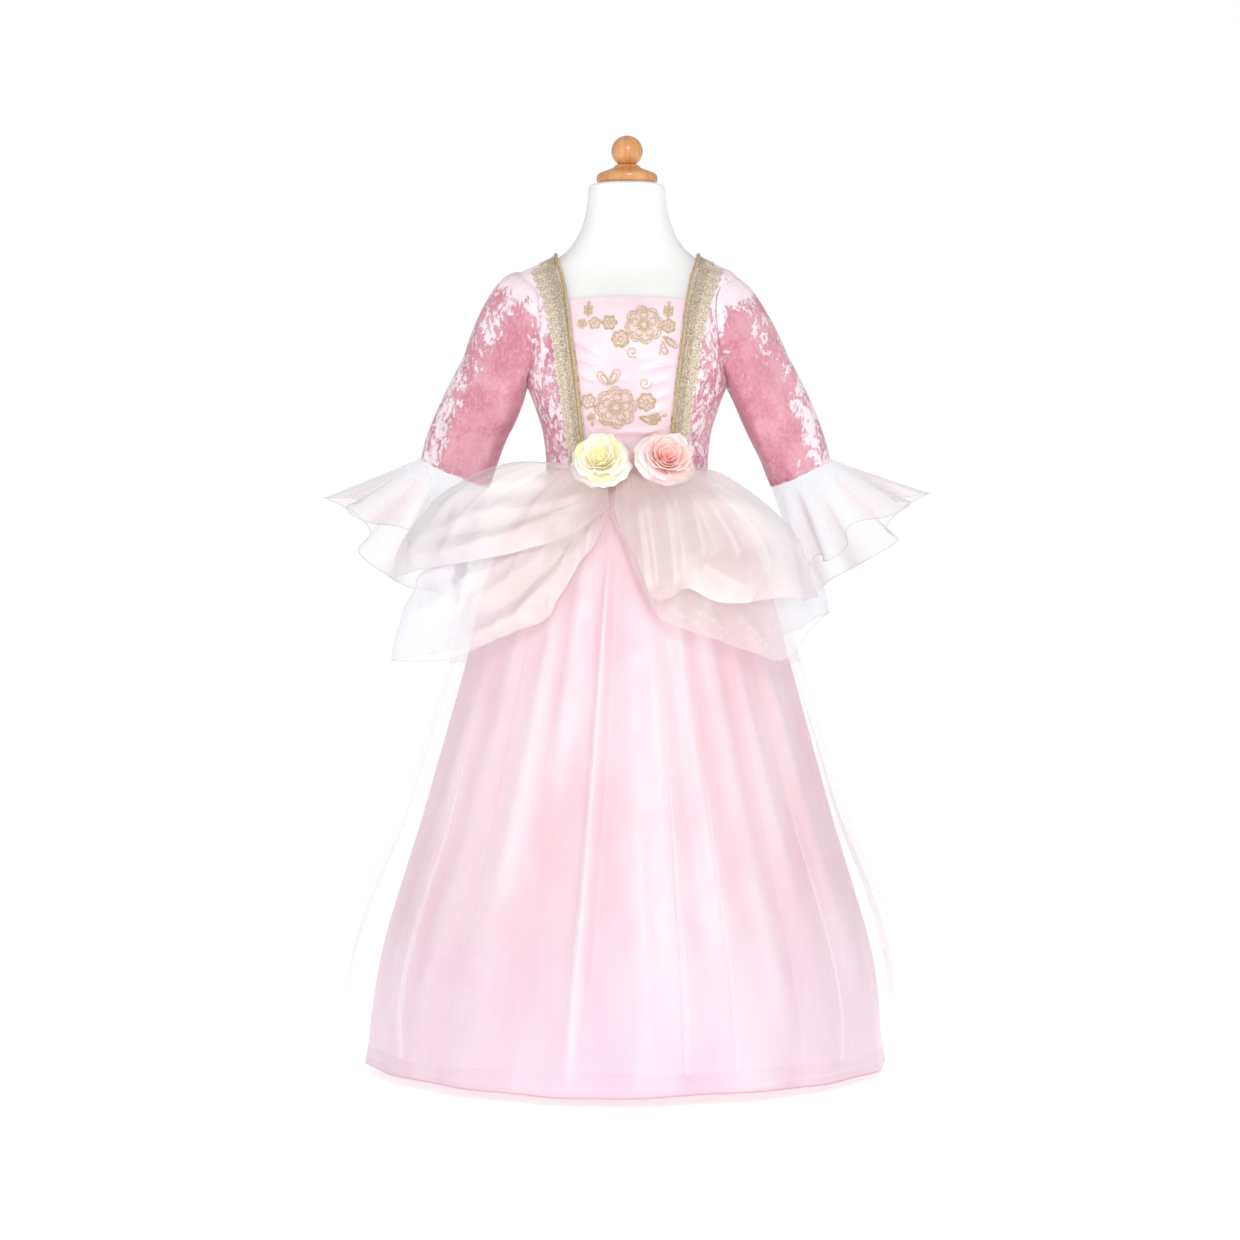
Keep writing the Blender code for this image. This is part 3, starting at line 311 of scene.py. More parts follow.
class Tree:
    """Short words for the nodes that these cloths need."""

    def __init__(self, tree):
        self.tree = tree

    def node(self, kind, values=None, **settings):
        node = self.tree.nodes.new(kind)
        for key, value in settings.items():
            setattr(node, key, value)
        for key, value in (values or {}).items():
            self.give(node, key, value)
        return node

    def give(self, node, key, value):
        if isinstance(value, bpy.types.NodeSocket):
            self.tree.links.new(value, node.inputs[key])
        else:
            node.inputs[key].default_value = value

    def math(self, operation, a, b=0.0, clamp=False):
        return self.node("ShaderNodeMath", {0: a, 1: b}, operation=operation, use_clamp=clamp).outputs[0]

    def span(self, value, low, high, out_low=0.0, out_high=1.0):
        """Smoothly maps low..high to out_low..out_high."""
        given = {"Value": value, "From Min": low, "From Max": high, "To Min": out_low, "To Max": out_high}
        return self.node("ShaderNodeMapRange", given, interpolation_type="SMOOTHSTEP").outputs["Result"]

    def noise(self, vector, scale, detail=2.0, rough=0.5, distortion=0.0):
        given = {"Vector": vector, "Scale": scale, "Detail": detail, "Roughness": rough, "Distortion": distortion}
        return self.node("ShaderNodeTexNoise", given).outputs["Fac"]

    def mix(self, share, a, b):
        node = self.node("ShaderNodeMix", data_type="RGBA")
        for socket, value in ((node.inputs[0], share), (node.inputs[6], a), (node.inputs[7], b)):
            if isinstance(value, bpy.types.NodeSocket):
                self.tree.links.new(value, socket)
            else:
                socket.default_value = value if np.isscalar(value) else (*value, 1.0)[:4]
        return node.outputs[2]

    def stretch(self, vector, scale):
        return self.node("ShaderNodeMapping", {"Vector": vector, "Scale": scale}).outputs["Vector"]

    def mark(self, name):
        return self.node("ShaderNodeAttribute", attribute_name=name).outputs["Fac"]

    def place(self, group, values):
        node = self.node("ShaderNodeGroup", node_tree=group)
        for key, value in values.items():
            self.give(node, key, value)
        return node


def linear(*srgb):
    """A colour as read off a swatch (0 to 255), made linear for the shader."""
    c = np.array(srgb) / 255
    return tuple(float(x) for x in np.where(c <= 0.04045, c / 12.92, ((c + 0.055) / 1.055) ** 2.4))


def new_material(name, **values):
    """A material with a Principled shader; returns it, its node words and the shader."""
    material = bpy.data.materials.new(name)
    material.use_nodes = True
    shader = material.node_tree.nodes["Principled BSDF"]
    for key, value in values.items():
        shader.inputs[key.replace("_", " ")].default_value = value
    return material, Tree(material.node_tree), shader


def add_bump(t, shader, height, distance, strength=1.0):
    bump = t.node("ShaderNodeBump", {"Height": height, "Distance": distance, "Strength": strength})
    t.give(shader, "Normal", bump.outputs["Normal"])


# %% Shared effects: crossing threads, and slow tone
group, ins, outs = new_group(
    "crossing threads", [("Vector", "vector", None), ("Threads per metre", "value", 2000.0)], [("Height", "value")]
)
t = Tree(group)
axes = t.node("ShaderNodeSeparateXYZ", {0: ins.outputs["Vector"]})
turns = t.math("MULTIPLY", ins.outputs["Threads per metre"], 3.14159)
over = t.math("ABSOLUTE", t.math("SINE", t.math("MULTIPLY", axes.outputs[0], turns)))
under = t.math("ABSOLUTE", t.math("SINE", t.math("MULTIPLY", axes.outputs[1], turns)))
group.links.new(t.math("MAXIMUM", over, under), outs.inputs["Height"])
THREADS = group

group, ins, outs = new_group(
    "slow tone",
    [("Vector", "vector", None), ("Scale", "value", 12.0), ("Low", "value", 0.0), ("High", "value", 1.0)],
    [("Share", "value")],
)
t = Tree(group)
cloud = t.noise(ins.outputs["Vector"], ins.outputs["Scale"], 3.0, 0.55, 0.4)
group.links.new(t.span(cloud, 0.34, 0.66, ins.outputs["Low"], ins.outputs["High"]), outs.inputs["Share"])
TONE = group
print("groups", [g.name for g in bpy.data.node_groups])

# %% [markdown]
# ## Crushed velvet
#
# Crushed velvet is pressed while it is wet, so its pile lies flat in ragged patches. Where
# the pile lies towards the light it looks almost white, and elsewhere it is deep pink. That
# white is painted sheen in the base colour. A noise with a sharp step makes the ragged
# patches, and a mark on each vertex says how many patches turn pale there: nearly all of
# it on the shoulders and the outer side of the sleeve, where the light falls, little on the
# lower arm. So the mark is partly the crushed pattern and partly painted sheen.

# %% Velvet
velvet, t, shader = new_material("crushed velvet", Roughness=0.62, Sheen_Weight=0.40, Sheen_Roughness=0.35)
shader.inputs["Sheen Tint"].default_value = (1.0, 0.86, 0.90, 1.0)
shader.inputs["Specular IOR Level"].default_value = 0.25
where = t.node("ShaderNodeTexCoord").outputs["Object"]
nap = t.stretch(where, (1.0, 1.0, 0.70))
crush_and_sheen = t.mark("crush_and_sheen")
coarse = t.noise(nap, 82.0, 9.0, 0.72, 1.0)
fine = t.noise(nap, 300.0, 5.0, 0.65, 0.5)
grain = t.math("ADD", t.math("MULTIPLY", coarse, 0.72), t.math("MULTIPLY", fine, 0.28))
reach = t.math("ADD", grain, t.math("MULTIPLY", t.math("SUBTRACT", crush_and_sheen, 0.5), 0.42))
patches = t.span(reach, 0.485, 0.545)
deep = t.mix(t.place(TONE, {"Vector": where, "Scale": 26.0}).outputs[0], linear(202, 128, 146), linear(222, 160, 174))
# Painted sheen: the near-white colour of the patches stands in for light off the pile.
painted_sheen_colour = t.mix(t.noise(where, 18.0, 2.0), linear(254, 238, 243), linear(243, 220, 232))
shade = t.mix(t.span(fine, 0.42, 0.62), deep, t.mix(0.35, deep, linear(240, 184, 198)))
t.give(shader, "Base Color", t.mix(patches, shade, painted_sheen_colour))
t.give(shader, "Roughness", t.span(patches, 0.0, 1.0, 0.70, 0.38))
crumple = t.noise(nap, 34.0, 3.0, 0.5, 1.4)
pile = t.math("ADD", t.math("MULTIPLY", patches, 0.4), t.math("MULTIPLY", fine, 0.4))
add_bump(t, shader, t.math("ADD", pile, t.math("MULTIPLY", crumple, 3.2)), 0.0011, 0.8)

# %% [markdown]
# ## Satin
#
# Satin's long floats lie side by side and mirror the light, so folds turn into bright
# streaks. A low roughness with a little sheen gives part of that; the rest is painted highlight
# on the fold crests and painted shade in the hollows, from a mark in the base colour. The
# threads are far too fine to see from here, but they break up the highlight in a close view.

# %% Satin
def satin_cloth(name, low, high, crease_scale, crease):
    """The painted fold light mark and a slow tone blend hollow into crest, painted shade to painted highlight; hem
    tones blend into waist tones.
    """
    material, t, shader = new_material(name, Roughness=0.32, Sheen_Weight=0.55, Sheen_Roughness=0.4, Anisotropic=0.3)
    shader.inputs["Sheen Tint"].default_value = (1.0, 0.86, 0.91, 1.0)
    shader.inputs["Specular IOR Level"].default_value = 0.55
    uv = t.node("ShaderNodeUVMap", uv_map="cut").outputs["UV"]
    where = t.node("ShaderNodeTexCoord").outputs["Object"]
    height = t.node("ShaderNodeSeparateXYZ", {0: where}).outputs[2]
    tone = t.place(TONE, {"Vector": t.stretch(where, (1.0, 1.0, 0.35)), "Scale": 11.0}).outputs[0]
    # Painted highlight and shade: the fold mark lightens the crests and darkens the hollows in the base colour.
    share = t.math("ADD", t.math("MULTIPLY", tone, 0.42), t.math("MULTIPLY", t.mark("painted_fold_light"), 0.66), clamp=True)
    near_hem, near_waist = t.mix(share, *low), t.mix(share, *high)
    cloth = t.mix(t.span(height, 0.03, 0.30), near_hem, near_waist)
    t.give(shader, "Base Color", t.mix(t.mark("hem"), cloth, linear(214, 150, 172)))
    t.give(shader, "Roughness", t.span(t.noise(where, 40.0, 2.0), 0.3, 0.7, 0.34, 0.46))
    threads = t.place(THREADS, {"Vector": t.stretch(uv, (1.0, 0.25, 1.0)), "Threads per metre": 3600.0}).outputs[0]
    soft = t.noise(t.stretch(uv, crease_scale), 1.0, 3.0, 0.45, 0.3)
    add_bump(t, shader, t.math("ADD", soft, t.math("MULTIPLY", threads, 0.006)), crease)
    return material


satin = satin_cloth(
    "pale pink satin", (linear(232, 196, 214), linear(246, 226, 236)), (linear(238, 184, 199), linear(247, 224, 230)),
    (14.0, 1.2, 1.0), 0.003,
)
panel_satin = satin_cloth(
    "panel satin", (linear(222, 182, 202), linear(248, 224, 230)), (linear(222, 182, 202), linear(248, 224, 230)),
    (40.0, 40.0, 1.0), 0.0010,
)

# %% [markdown]
# ## Organza and net
#
# Both are see-through. Organza is a crisp plain weave that covers about half of what lies
# behind it, and more where a fold is seen edge on. Net is so open that it only adds a white
# haze. Modelling each thread would take millions of faces, so the cover is the shader's
# Alpha, with the threads as a fine change in it and a mark for the places where it doubles.
# A second mark greys the cloth and thickens it a little where it lies in shade, which is
# painted shade, and a faint glow in its own colour is painted light.


# %% Sheer cloths
def sheer(name, first, second, cover, ivory_more, threads_per_metre, rough, crease):
    """A see-through cloth: Alpha is its cover plus its threads, its tone and the fold and painted shade marks; the
    painted shade mark also greys its colour, and a faint glow is painted light.
    """
    material, t, shader = new_material(name, Roughness=rough, Sheen_Weight=0.3, Sheen_Roughness=0.4)
    # Painted light: a faint glow in the cloth's own colour stands in for light passing through the organza.
    shader.inputs["Emission Strength"].default_value = 0.03
    shader.inputs["Specular IOR Level"].default_value = 0.35
    uv = t.node("ShaderNodeUVMap", uv_map="cut").outputs["UV"]
    where = t.node("ShaderNodeTexCoord").outputs["Object"]
    threads = t.place(THREADS, {"Vector": uv, "Threads per metre": threads_per_metre}).outputs[0]
    single = t.mix(t.mark("tint"), first, second)
    doubled = t.mix(t.span(t.mark("fold"), 0.05, 0.85), single, linear(246, 237, 235))
    # Painted shade: the grey colour stands in for shadow where the cloth lies in shade.
    painted_shade_colour = t.mix(t.math("MULTIPLY", t.mark("painted_shade_and_cover"), 0.8), doubled, linear(208, 202, 208))
    t.give(shader, "Base Color", painted_shade_colour)
    t.give(shader, "Emission Color", painted_shade_colour)
    tone = t.place(TONE, {"Vector": where, "Scale": 14.0, "Low": -0.03, "High": 0.04}).outputs[0]
    base = t.math("ADD", t.span(threads, 0.3, 1.0, cover - 0.04, cover + 0.03), tone)
    more = t.math("MULTIPLY", t.mark("fold"), 0.4), t.math("MULTIPLY", t.mark("tint"), ivory_more)
    denser = t.math("ADD", t.math("ADD", *more), t.math("MULTIPLY", t.mark("painted_shade_and_cover"), 0.16))
    t.give(shader, "Alpha", t.math("ADD", base, denser, clamp=True))
    soft = t.noise(t.stretch(uv, (70.0, 12.0, 1.0)), 1.0, 3.0, 0.5, 0.4)
    add_bump(t, shader, t.math("ADD", soft, t.math("MULTIPLY", threads, 0.03)), crease)
    return material


organza = sheer("organza", linear(240, 242, 249), linear(240, 225, 223), 0.30, 0.06, 1400.0, 0.36, 0.0012)
net = sheer("white net", linear(244, 245, 250), linear(248, 245, 248), 0.10, 0.0, 700.0, 0.60, 0.0005)
sheer_hem = sheer("rolled organza hem", linear(222, 225, 230), linear(236, 226, 222), 0.45, 0.0, 1400.0, 0.45, 0.0005)

# %% [markdown]
# ## Gold thread, jersey and petals
#
# Metallic yarn is a dull gold: partly metal, partly thread. The dress form wears a white
# jersey, a fine knit. Petals are stiffened cloth whose colour deepens towards the heart.

# %% Gold, jersey, petals
gold, t, shader = new_material("metallic gold thread", Metallic=0.45, Roughness=0.42, Sheen_Weight=0.2)
uv = t.node("ShaderNodeUVMap", uv_map="cut").outputs["UV"]
where = t.node("ShaderNodeTexCoord").outputs["Object"]
twist = t.noise(where, 900.0, 2.0, 0.6)
t.give(shader, "Base Color", t.mix(t.span(twist, 0.35, 0.65), linear(166, 142, 98), linear(222, 204, 166)))
add_bump(t, shader, twist, 0.0003, 0.6)

lace, t, shader = new_material("gold lace", Metallic=0.30, Roughness=0.45, Sheen_Weight=0.2)
yarn = t.mark("yarn")
where = t.node("ShaderNodeTexCoord").outputs["Object"]
glint = t.noise(where, 600.0, 2.0, 0.6)
inner = t.mix(t.span(glint, 0.35, 0.65), linear(166, 147, 120), linear(224, 210, 185))
outer = t.mix(t.span(glint, 0.35, 0.65), linear(196, 176, 150), linear(240, 228, 210))
t.give(shader, "Base Color", t.mix(t.span(t.mark("across"), 0.30, 0.75), inner, outer))
t.give(shader, "Alpha", t.span(yarn, 0.10, 0.5, 0.62, 1.0))
add_bump(t, shader, t.math("ADD", yarn, t.math("MULTIPLY", glint, 0.3)), 0.0005, 0.7)

pale_gold, t, shader = new_material("pale gold yarn", Metallic=0.25, Roughness=0.45, Sheen_Weight=0.2)
where = t.node("ShaderNodeTexCoord").outputs["Object"]
twist = t.noise(where, 900.0, 2.0, 0.6)
t.give(shader, "Base Color", t.mix(t.span(twist, 0.35, 0.65), linear(196, 172, 128), linear(228, 210, 172)))
add_bump(t, shader, twist, 0.0003, 0.6)

jersey, t, shader = new_material("white jersey", Roughness=0.75, Sheen_Weight=0.3, Sheen_Roughness=0.5)
where = t.node("ShaderNodeTexCoord").outputs["Object"]
knit = t.place(THREADS, {"Vector": t.node("ShaderNodeUVMap", uv_map="cut").outputs["UV"], "Threads per metre": 1100.0})
tone = t.place(TONE, {"Vector": where, "Scale": 9.0}).outputs[0]
t.give(shader, "Base Color", t.mix(tone, linear(235, 235, 234), linear(241, 241, 240)))
add_bump(t, shader, knit.outputs[0], 0.0001, 0.4)


def petal_cloth(name, heart, body, rim, warm):
    """Colour by a mark from 0 at the heart to 1 at the rim; the warm mark tints some petals' rims, and a faint glow is
    painted light that lifts the shade between petals.
    """
    material, t, shader = new_material(name, Roughness=0.6, Sheen_Weight=0.35, Sheen_Roughness=0.4)
    shader.inputs["Subsurface Weight"].default_value = 0.30
    shader.inputs["Subsurface Radius"].default_value = (0.9, 0.6, 0.5)
    shader.inputs["Subsurface Scale"].default_value = 0.006
    where = t.node("ShaderNodeTexCoord").outputs["Object"]
    out = t.math("ADD", t.mark("out"), t.math("MULTIPLY", t.noise(where, 120.0, 3.0), 0.3))
    inner = t.mix(t.span(out, 0.30, 0.75), heart, body)
    t.give(shader, "Base Color", t.mix(t.mark("warm"), t.mix(t.span(out, 0.70, 1.10), inner, rim), warm))
    # Painted light: a faint glow in the heart and body colours lifts the shade between the petals, standing in for
    # light through the cloth.
    t.give(shader, "Emission Color", t.mix(t.span(out, 0.2, 1.0), heart, body))
    shader.inputs["Emission Strength"].default_value = 0.10
    uv = t.node("ShaderNodeUVMap", uv_map="cut").outputs["UV"]
    threads = t.place(THREADS, {"Vector": uv, "Threads per metre": 1600.0}).outputs[0]
    add_bump(t, shader, threads, 0.00008, 0.4)
    return material


cream = petal_cloth(
    "cream petals", linear(250, 238, 186), linear(251, 245, 222), linear(252, 250, 240), linear(244, 234, 140)
)
pink = petal_cloth(
    "coral petals", linear(244, 150, 138), linear(249, 214, 212), linear(252, 234, 232), linear(250, 214, 188)
)

# %% [markdown]
# ## Varnished wood
#
# The cap and ball are turned beech with a warm satin varnish. Growth rings run through the
# block, so a stretched noise in Object coordinates gives grain that a turned shape cuts
# through, and the coat gives the varnish.

# %% Wood
wood, t, shader = new_material("varnished beech", Roughness=0.36, Coat_Weight=0.5, Coat_Roughness=0.18)
where = t.node("ShaderNodeTexCoord").outputs["Object"]
fibres = t.noise(t.stretch(where, (260.0, 60.0, 26.0)), 1.0, 5.0, 0.6, 0.6)
rings = t.noise(t.stretch(where, (60.0, 30.0, 8.0)), 1.0, 2.0, 0.5, 1.0)
light = t.mix(t.span(rings, 0.3, 0.7), linear(208, 142, 86), linear(226, 164, 108))
t.give(shader, "Base Color", t.mix(t.span(fibres, 0.45, 0.80), light, linear(188, 116, 62)))
add_bump(t, shader, fibres, 0.0002, 0.15)
print("materials", len(bpy.data.materials))

# %% [markdown]
# ## The dress form
#
# The torso's surface is lofted again with four times the sections, so that no facet shows on
# the neck. The last ring is drawn in to a point to close the top. The foot and pole under
# the skirt are right as the CAD has them, and only get their wood.

# %% Torso, cap and ball
heights = np.concatenate([np.linspace(0.55, 0.955, 82), np.linspace(0.957, 0.9745, 12)])
angle, z = np.meshgrid(np.linspace(-np.pi, np.pi, 128, endpoint=False), heights, indexing="ij")
inset = TORSO_INSET * ease((SHOULDER_Z + 0.016 - z) / 0.012)
skin = on_form(angle, z, -inset)
lids = [skin[:, :1] * np.array([k, k, 1.0]) for k in (0.0, 0.5)], [skin[:, -1:] * np.array([k, k, 1.0]) for k in (0.5, 0.0)]
skin = np.concatenate([*lids[0], skin, *lids[1]], 1)
sew("torso_jersey", [patch(skin, axis_of(skin), wrap_rows=True)], jersey, ["form_torso"])


def turn_on_lathe(name, profile, z, node):
    """Spins a smooth profile of (radius, height) about the axis."""
    steps = np.linspace(0, 1, 70)
    radius = np.interp(steps, np.linspace(0, 1, len(profile)), column(profile, 0))
    height = np.interp(steps, np.linspace(0, 1, len(profile)), column(profile, 1))
    radius = np.convolve(np.pad(radius, 1, mode="edge"), [0.25, 0.5, 0.25], "valid")
    radius[[0, -1]] = 0
    turn = np.linspace(-np.pi, np.pi, 96, endpoint=False)[:, None]
    points = polar(turn + 0 * radius, radius + 0 * turn, z + height + 0 * turn)
    middle = np.array([0, 0, z + 0.5 * (height.min() + height.max())])
    return sew(name, [patch(points, middle, wrap_rows=True)], wood, [node])


CAP_PROFILE = (
    (0.0000, 0.0212), (0.0060, 0.0212), (0.0118, 0.0210),
    (0.0136, 0.0198), (0.0150, 0.0180), (0.0195, 0.0158),
    (0.0245, 0.0140), (0.0290, 0.0122), (0.0318, 0.0108),
    (0.0332, 0.0088), (0.0336, 0.0062), (0.0333, 0.0036),
    (0.0324, 0.0014), (0.0310, 0.0002), (0.0200, 0.0000), (0.0000, 0.0000),
)
BALL_RADIUS, BALL_Z, CAP_Z = 0.0172, 1.0108, 0.9748
turn_on_lathe("neck_cap_turned", CAP_PROFILE, CAP_Z, "form_cap")
bow = np.linspace(np.pi / 2, -1.02, 18)
ball = [(BALL_RADIUS * np.cos(b), BALL_RADIUS * np.sin(b)) for b in bow] + [(0.0, BALL_RADIUS * np.sin(-1.02))]
turn_on_lathe("ball_turned", ball, BALL_Z, "form_ball")
for name in ("form_foot", "form_pole"):
    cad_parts[name].data.materials.clear()
    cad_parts[name].data.materials.append(wood)

# %% [markdown]
# ## The bodice
#
# Two velvet fronts and two backs meet at the sides and the shoulders, and a satin panel fills
# the front between them. The tables give each seam as heights and angles round the body. The
# velvet is close fitting, so it only gets slight hollows. The satin panel was cut a little
# long and pulled in by the cords, so short drag lines run in from its edges.

# %% Bodice tables
NECK_EDGE_COLUMNS = ("z", "x")
NECK_EDGE_ROWS = (
    (0.6600, 0.0400), (0.6880, 0.0437), (0.7600, 0.0520), (0.8000, 0.0570),
    (0.8430, 0.0625), (0.8700, 0.0680), (0.8870, 0.0735), (0.8960, 0.0760),
)
FRONT_COLUMNS = ("z_inner", "z_outer", "outer_deg")
FRONT_ROWS = (
    (0.6600, 0.6600, 90), (0.6880, 0.6840, 90), (0.7180, 0.7090, 90),
    (0.7470, 0.7320, 90), (0.7730, 0.7540, 90), (0.7960, 0.7690, 74),
    (0.8170, 0.7900, 66), (0.8370, 0.8150, 63), (0.8560, 0.8380, 64),
    (0.8720, 0.8550, 69), (0.8820, 0.8650, 77), (0.8890, 0.8695, 83),
    (0.8955, 0.8730, 90),
)
BACK_COLUMNS = ("z_inner", "inner_deg", "z_outer", "outer_deg")
BACK_ROWS = (
    (0.6600, 180, 0.6600, 90), (0.6950, 180, 0.6900, 90), (0.7300, 180, 0.7230, 90),
    (0.7640, 180, 0.7540, 90), (0.7940, 180, 0.7700, 106), (0.8200, 180, 0.7930, 115),
    (0.8420, 180, 0.8180, 118), (0.8600, 180, 0.8400, 116), (0.8680, 158, 0.8520, 111),
    (0.8760, 138, 0.8600, 106), (0.8830, 120, 0.8660, 101), (0.8895, 105, 0.8700, 96),
    (0.8955, 90, 0.8730, 90),
)
CENTRE_TOP_Z, CENTRE_TOP_ARCH = 0.8420, 0.0030
DRAG_COLUMNS = ("x", "z", "tilt_deg", "half_length", "width", "height")
DRAG_ROWS = (
    (-0.046, 0.792, -28, 0.014, 0.0030, 0.0015), (-0.042, 0.775, -16, 0.012, 0.0028, 0.0013),
    (-0.040, 0.757, -22, 0.010, 0.0030, 0.0012), (0.036, 0.770, 12, 0.016, 0.0032, 0.0015),
    (0.030, 0.752, 20, 0.014, 0.0030, 0.0014), (0.034, 0.737, 26, 0.012, 0.0028, 0.0014),
    (0.028, 0.722, 14, 0.013, 0.0030, 0.0012), (-0.030, 0.714, -14, 0.013, 0.0030, 0.0011),
    (0.010, 0.778, 6, 0.014, 0.0034, 0.0008), (0.004, 0.700, 3, 0.020, 0.0034, 0.0011),
    (-0.018, 0.690, -10, 0.014, 0.0030, 0.0012), (0.024, 0.700, 16, 0.010, 0.0028, 0.0012),
    (-0.006, 0.756, -9, 0.012, 0.0030, 0.0007), (0.040, 0.798, 24, 0.010, 0.0028, 0.0010),
)


def neck_angle(z):
    """The angle round the body of the neckline edge, found from its x in the front view."""
    x, half_width, front = along(NECK_EDGE_ROWS, 1, z), along(FORM_ROWS, 1, z), along(FORM_ROWS, 2, z)
    share = np.clip(x / half_width, 0, 1)
    return np.arctan2(x, front * (1 - share**SQUARENESS) ** (1 / SQUARENESS))


def panel(rows, inner_deg, inner_z, outer_z, outer_deg, lines=70, columns=48):
    """A grid between a panel's inner and outer edge, each a smooth curve through its rows."""
    up = np.linspace(0, 1, lines)
    z_in, z_out = across(column(rows, inner_z), up), across(column(rows, outer_z), up)
    z_in[0] = z_out[0] = WAIST_Z + SEAM / 2
    a_out = np.radians(across(column(rows, outer_deg), up))
    a_in = neck_angle(z_in) if inner_deg is None else np.radians(across(column(rows, inner_deg), up))
    gap = 0.5 * SEAM / 0.09
    turn = gap if inner_deg is None else -gap
    a_in, a_out = a_in + turn, a_out - turn
    if inner_deg is None:
        a_in = np.minimum(a_in, a_out)
        a_in[-1] = a_out[-1]
    share = np.linspace(0, 1, columns)
    blend = lambda a, b: a[:, None] * (1 - share) + b[:, None] * share
    return blend(a_in, a_out), blend(z_in, z_out)


def crush_and_sheen_on_bodice(z, angle):
    """How many patches turn pale with painted sheen: most on the shoulders, where the light falls, fewer at the sides,
    patchy down the front.
    """
    side = 0.10 * np.sin(np.abs(angle)) ** 4
    return 0.59 + 0.24 * ease((z - 0.795) / 0.06) - side


# %% Velvet fronts and backs
for side, sign in (("right", 1), ("left", -1)):
    for part, rows, cols in (("front", FRONT_ROWS, (None, 0, 1, 2)), ("back", BACK_ROWS, (1, 0, 2, 3))):
        angle, z = panel(rows, *cols)
        hollow = 0.00025 * (2 + wander(9 * angle + 60 * z, 3) + wander(5 * angle - 45 * z, 8))
        beside, skin = np.linspace(0, 1, angle.shape[1]), form_surface(angle, z)
        past_lace = ease((np.linalg.norm(skin - skin[:, :1], axis=-1) - 0.022) / 0.020)
        swell = 0.0026 * ease((beside - 0.35) / 0.65) * past_lace * ease((z - 0.850) / 0.015)
        points = on_form(sign * angle, z, CLEARANCE + hollow + swell)
        marks = {"crush_and_sheen": crush_and_sheen_on_bodice(z, angle)}
        piece = sew(
            f"velvet_{part}_{side}", [patch(points, axis_of(points))], velvet,
            [f"bodice_{part}_{side}"], marks, VELVET - 0.0003,
        )
        declare_sheet(points)


# %% [markdown]
# The centre panel's relief is a sum of short ridges. Each row of the table gives a ridge's
# middle, its tilt, its length and its height, read off the photograph.


# %% Satin centre panel
def centre_lift(angle, z):
    """The panel's height off the form: cloth, plus each drag line as a stretched round ridge."""
    p = form_surface(angle, z)
    lift = 0.0 * z
    for x0, z0, tilt, half, width, height in DRAG_ROWS:
        c, s = np.cos(np.radians(tilt)), np.sin(np.radians(tilt))
        run = (p[..., 0] - x0) * c + (z - z0) * s
        off = -(p[..., 0] - x0) * s + (z - z0) * c
        lift = lift + height * ridge(run, 0, half) * ridge(off + 3.0 * run**2, 0, width)
    return CLEARANCE + SATIN + 0.0002 + 1.5 * np.minimum(lift, 0.0020)


up, share = np.meshgrid(np.linspace(0, 1, 130), np.linspace(-1, 1, 96), indexing="ij")
z = WAIST_Z + SEAM / 2 + (CENTRE_TOP_Z + CENTRE_TOP_ARCH * (1 - share**2) - WAIST_Z) * up
angle = share * (neck_angle(z) - 0.5 * SEAM / 0.09)
points = on_form(angle, z, centre_lift(angle, z))
# Painted highlight and shade: the panel is lighter where a drag line faces up and darker where it faces down, as if lit
# from above.
painted_fold_light = np.clip(0.85 + 330 * (centre_lift(angle, z - 0.002) - centre_lift(angle, z + 0.002)), 0, 1.3)
centre = sew("satin_centre", [patch(points, axis_of(points))], panel_satin, ["bodice_centre"], {"painted_fold_light": painted_fold_light})
declare_sheet(points)

# %% [markdown]
# ## Sleeves
#
# A sleeve is a tube from the armhole to the cuff. Both ends are closed loops: the armhole
# follows the bodice's seam, and the cuff is an oval. Each point between them is a blend of
# the two, plus a bulge, long soft folds down the arm, and small gathers at the cuff.

# %% Sleeve shape
CUFF_COLUMNS = ("side", "x", "y", "z", "across", "deep", "turn_deg", "puff", "tip")
CUFF_ROWS = (
    ("right", 0.1925, 0.030, 0.6590, 0.0345, 0.0330, 25, 0.007, 0.010),
    ("left", -0.1905, 0.030, 0.6590, 0.0395, 0.0330, 23, 0.017, 0.024),
)
SLEEVE_BULGE = 0.0125


def sleeve_frame(row):
    """The cuff's middle and the ways down the arm, outwards and backwards."""
    turn, sign = np.radians(row[6]), (1 if row[0] == "right" else -1)
    down = np.array([sign * np.sin(turn), 0.10, -np.cos(turn)])
    down /= np.linalg.norm(down)
    out = np.array([sign * np.cos(turn), 0.0, np.sin(turn)])
    return sign, np.array(row[1:4]), down, out, np.cross(down, out) * -sign


def armhole(phi, sign, lift):
    """The armhole seam as a closed loop: 0 is the shoulder, then back, underarm and front."""
    front = tuple((row[2], row[1]) for row in FRONT_ROWS[4:])
    rear = tuple((row[3], row[2]) for row in BACK_ROWS[3:])
    loop = rear[::-1] + front[1:]
    at = (phi / (2 * np.pi)) % 1.0
    smooth = [across(column(loop, i), at) for i in (0, 1)]
    return on_form(sign * np.radians(smooth[0]), smooth[1], lift + 0 * phi)


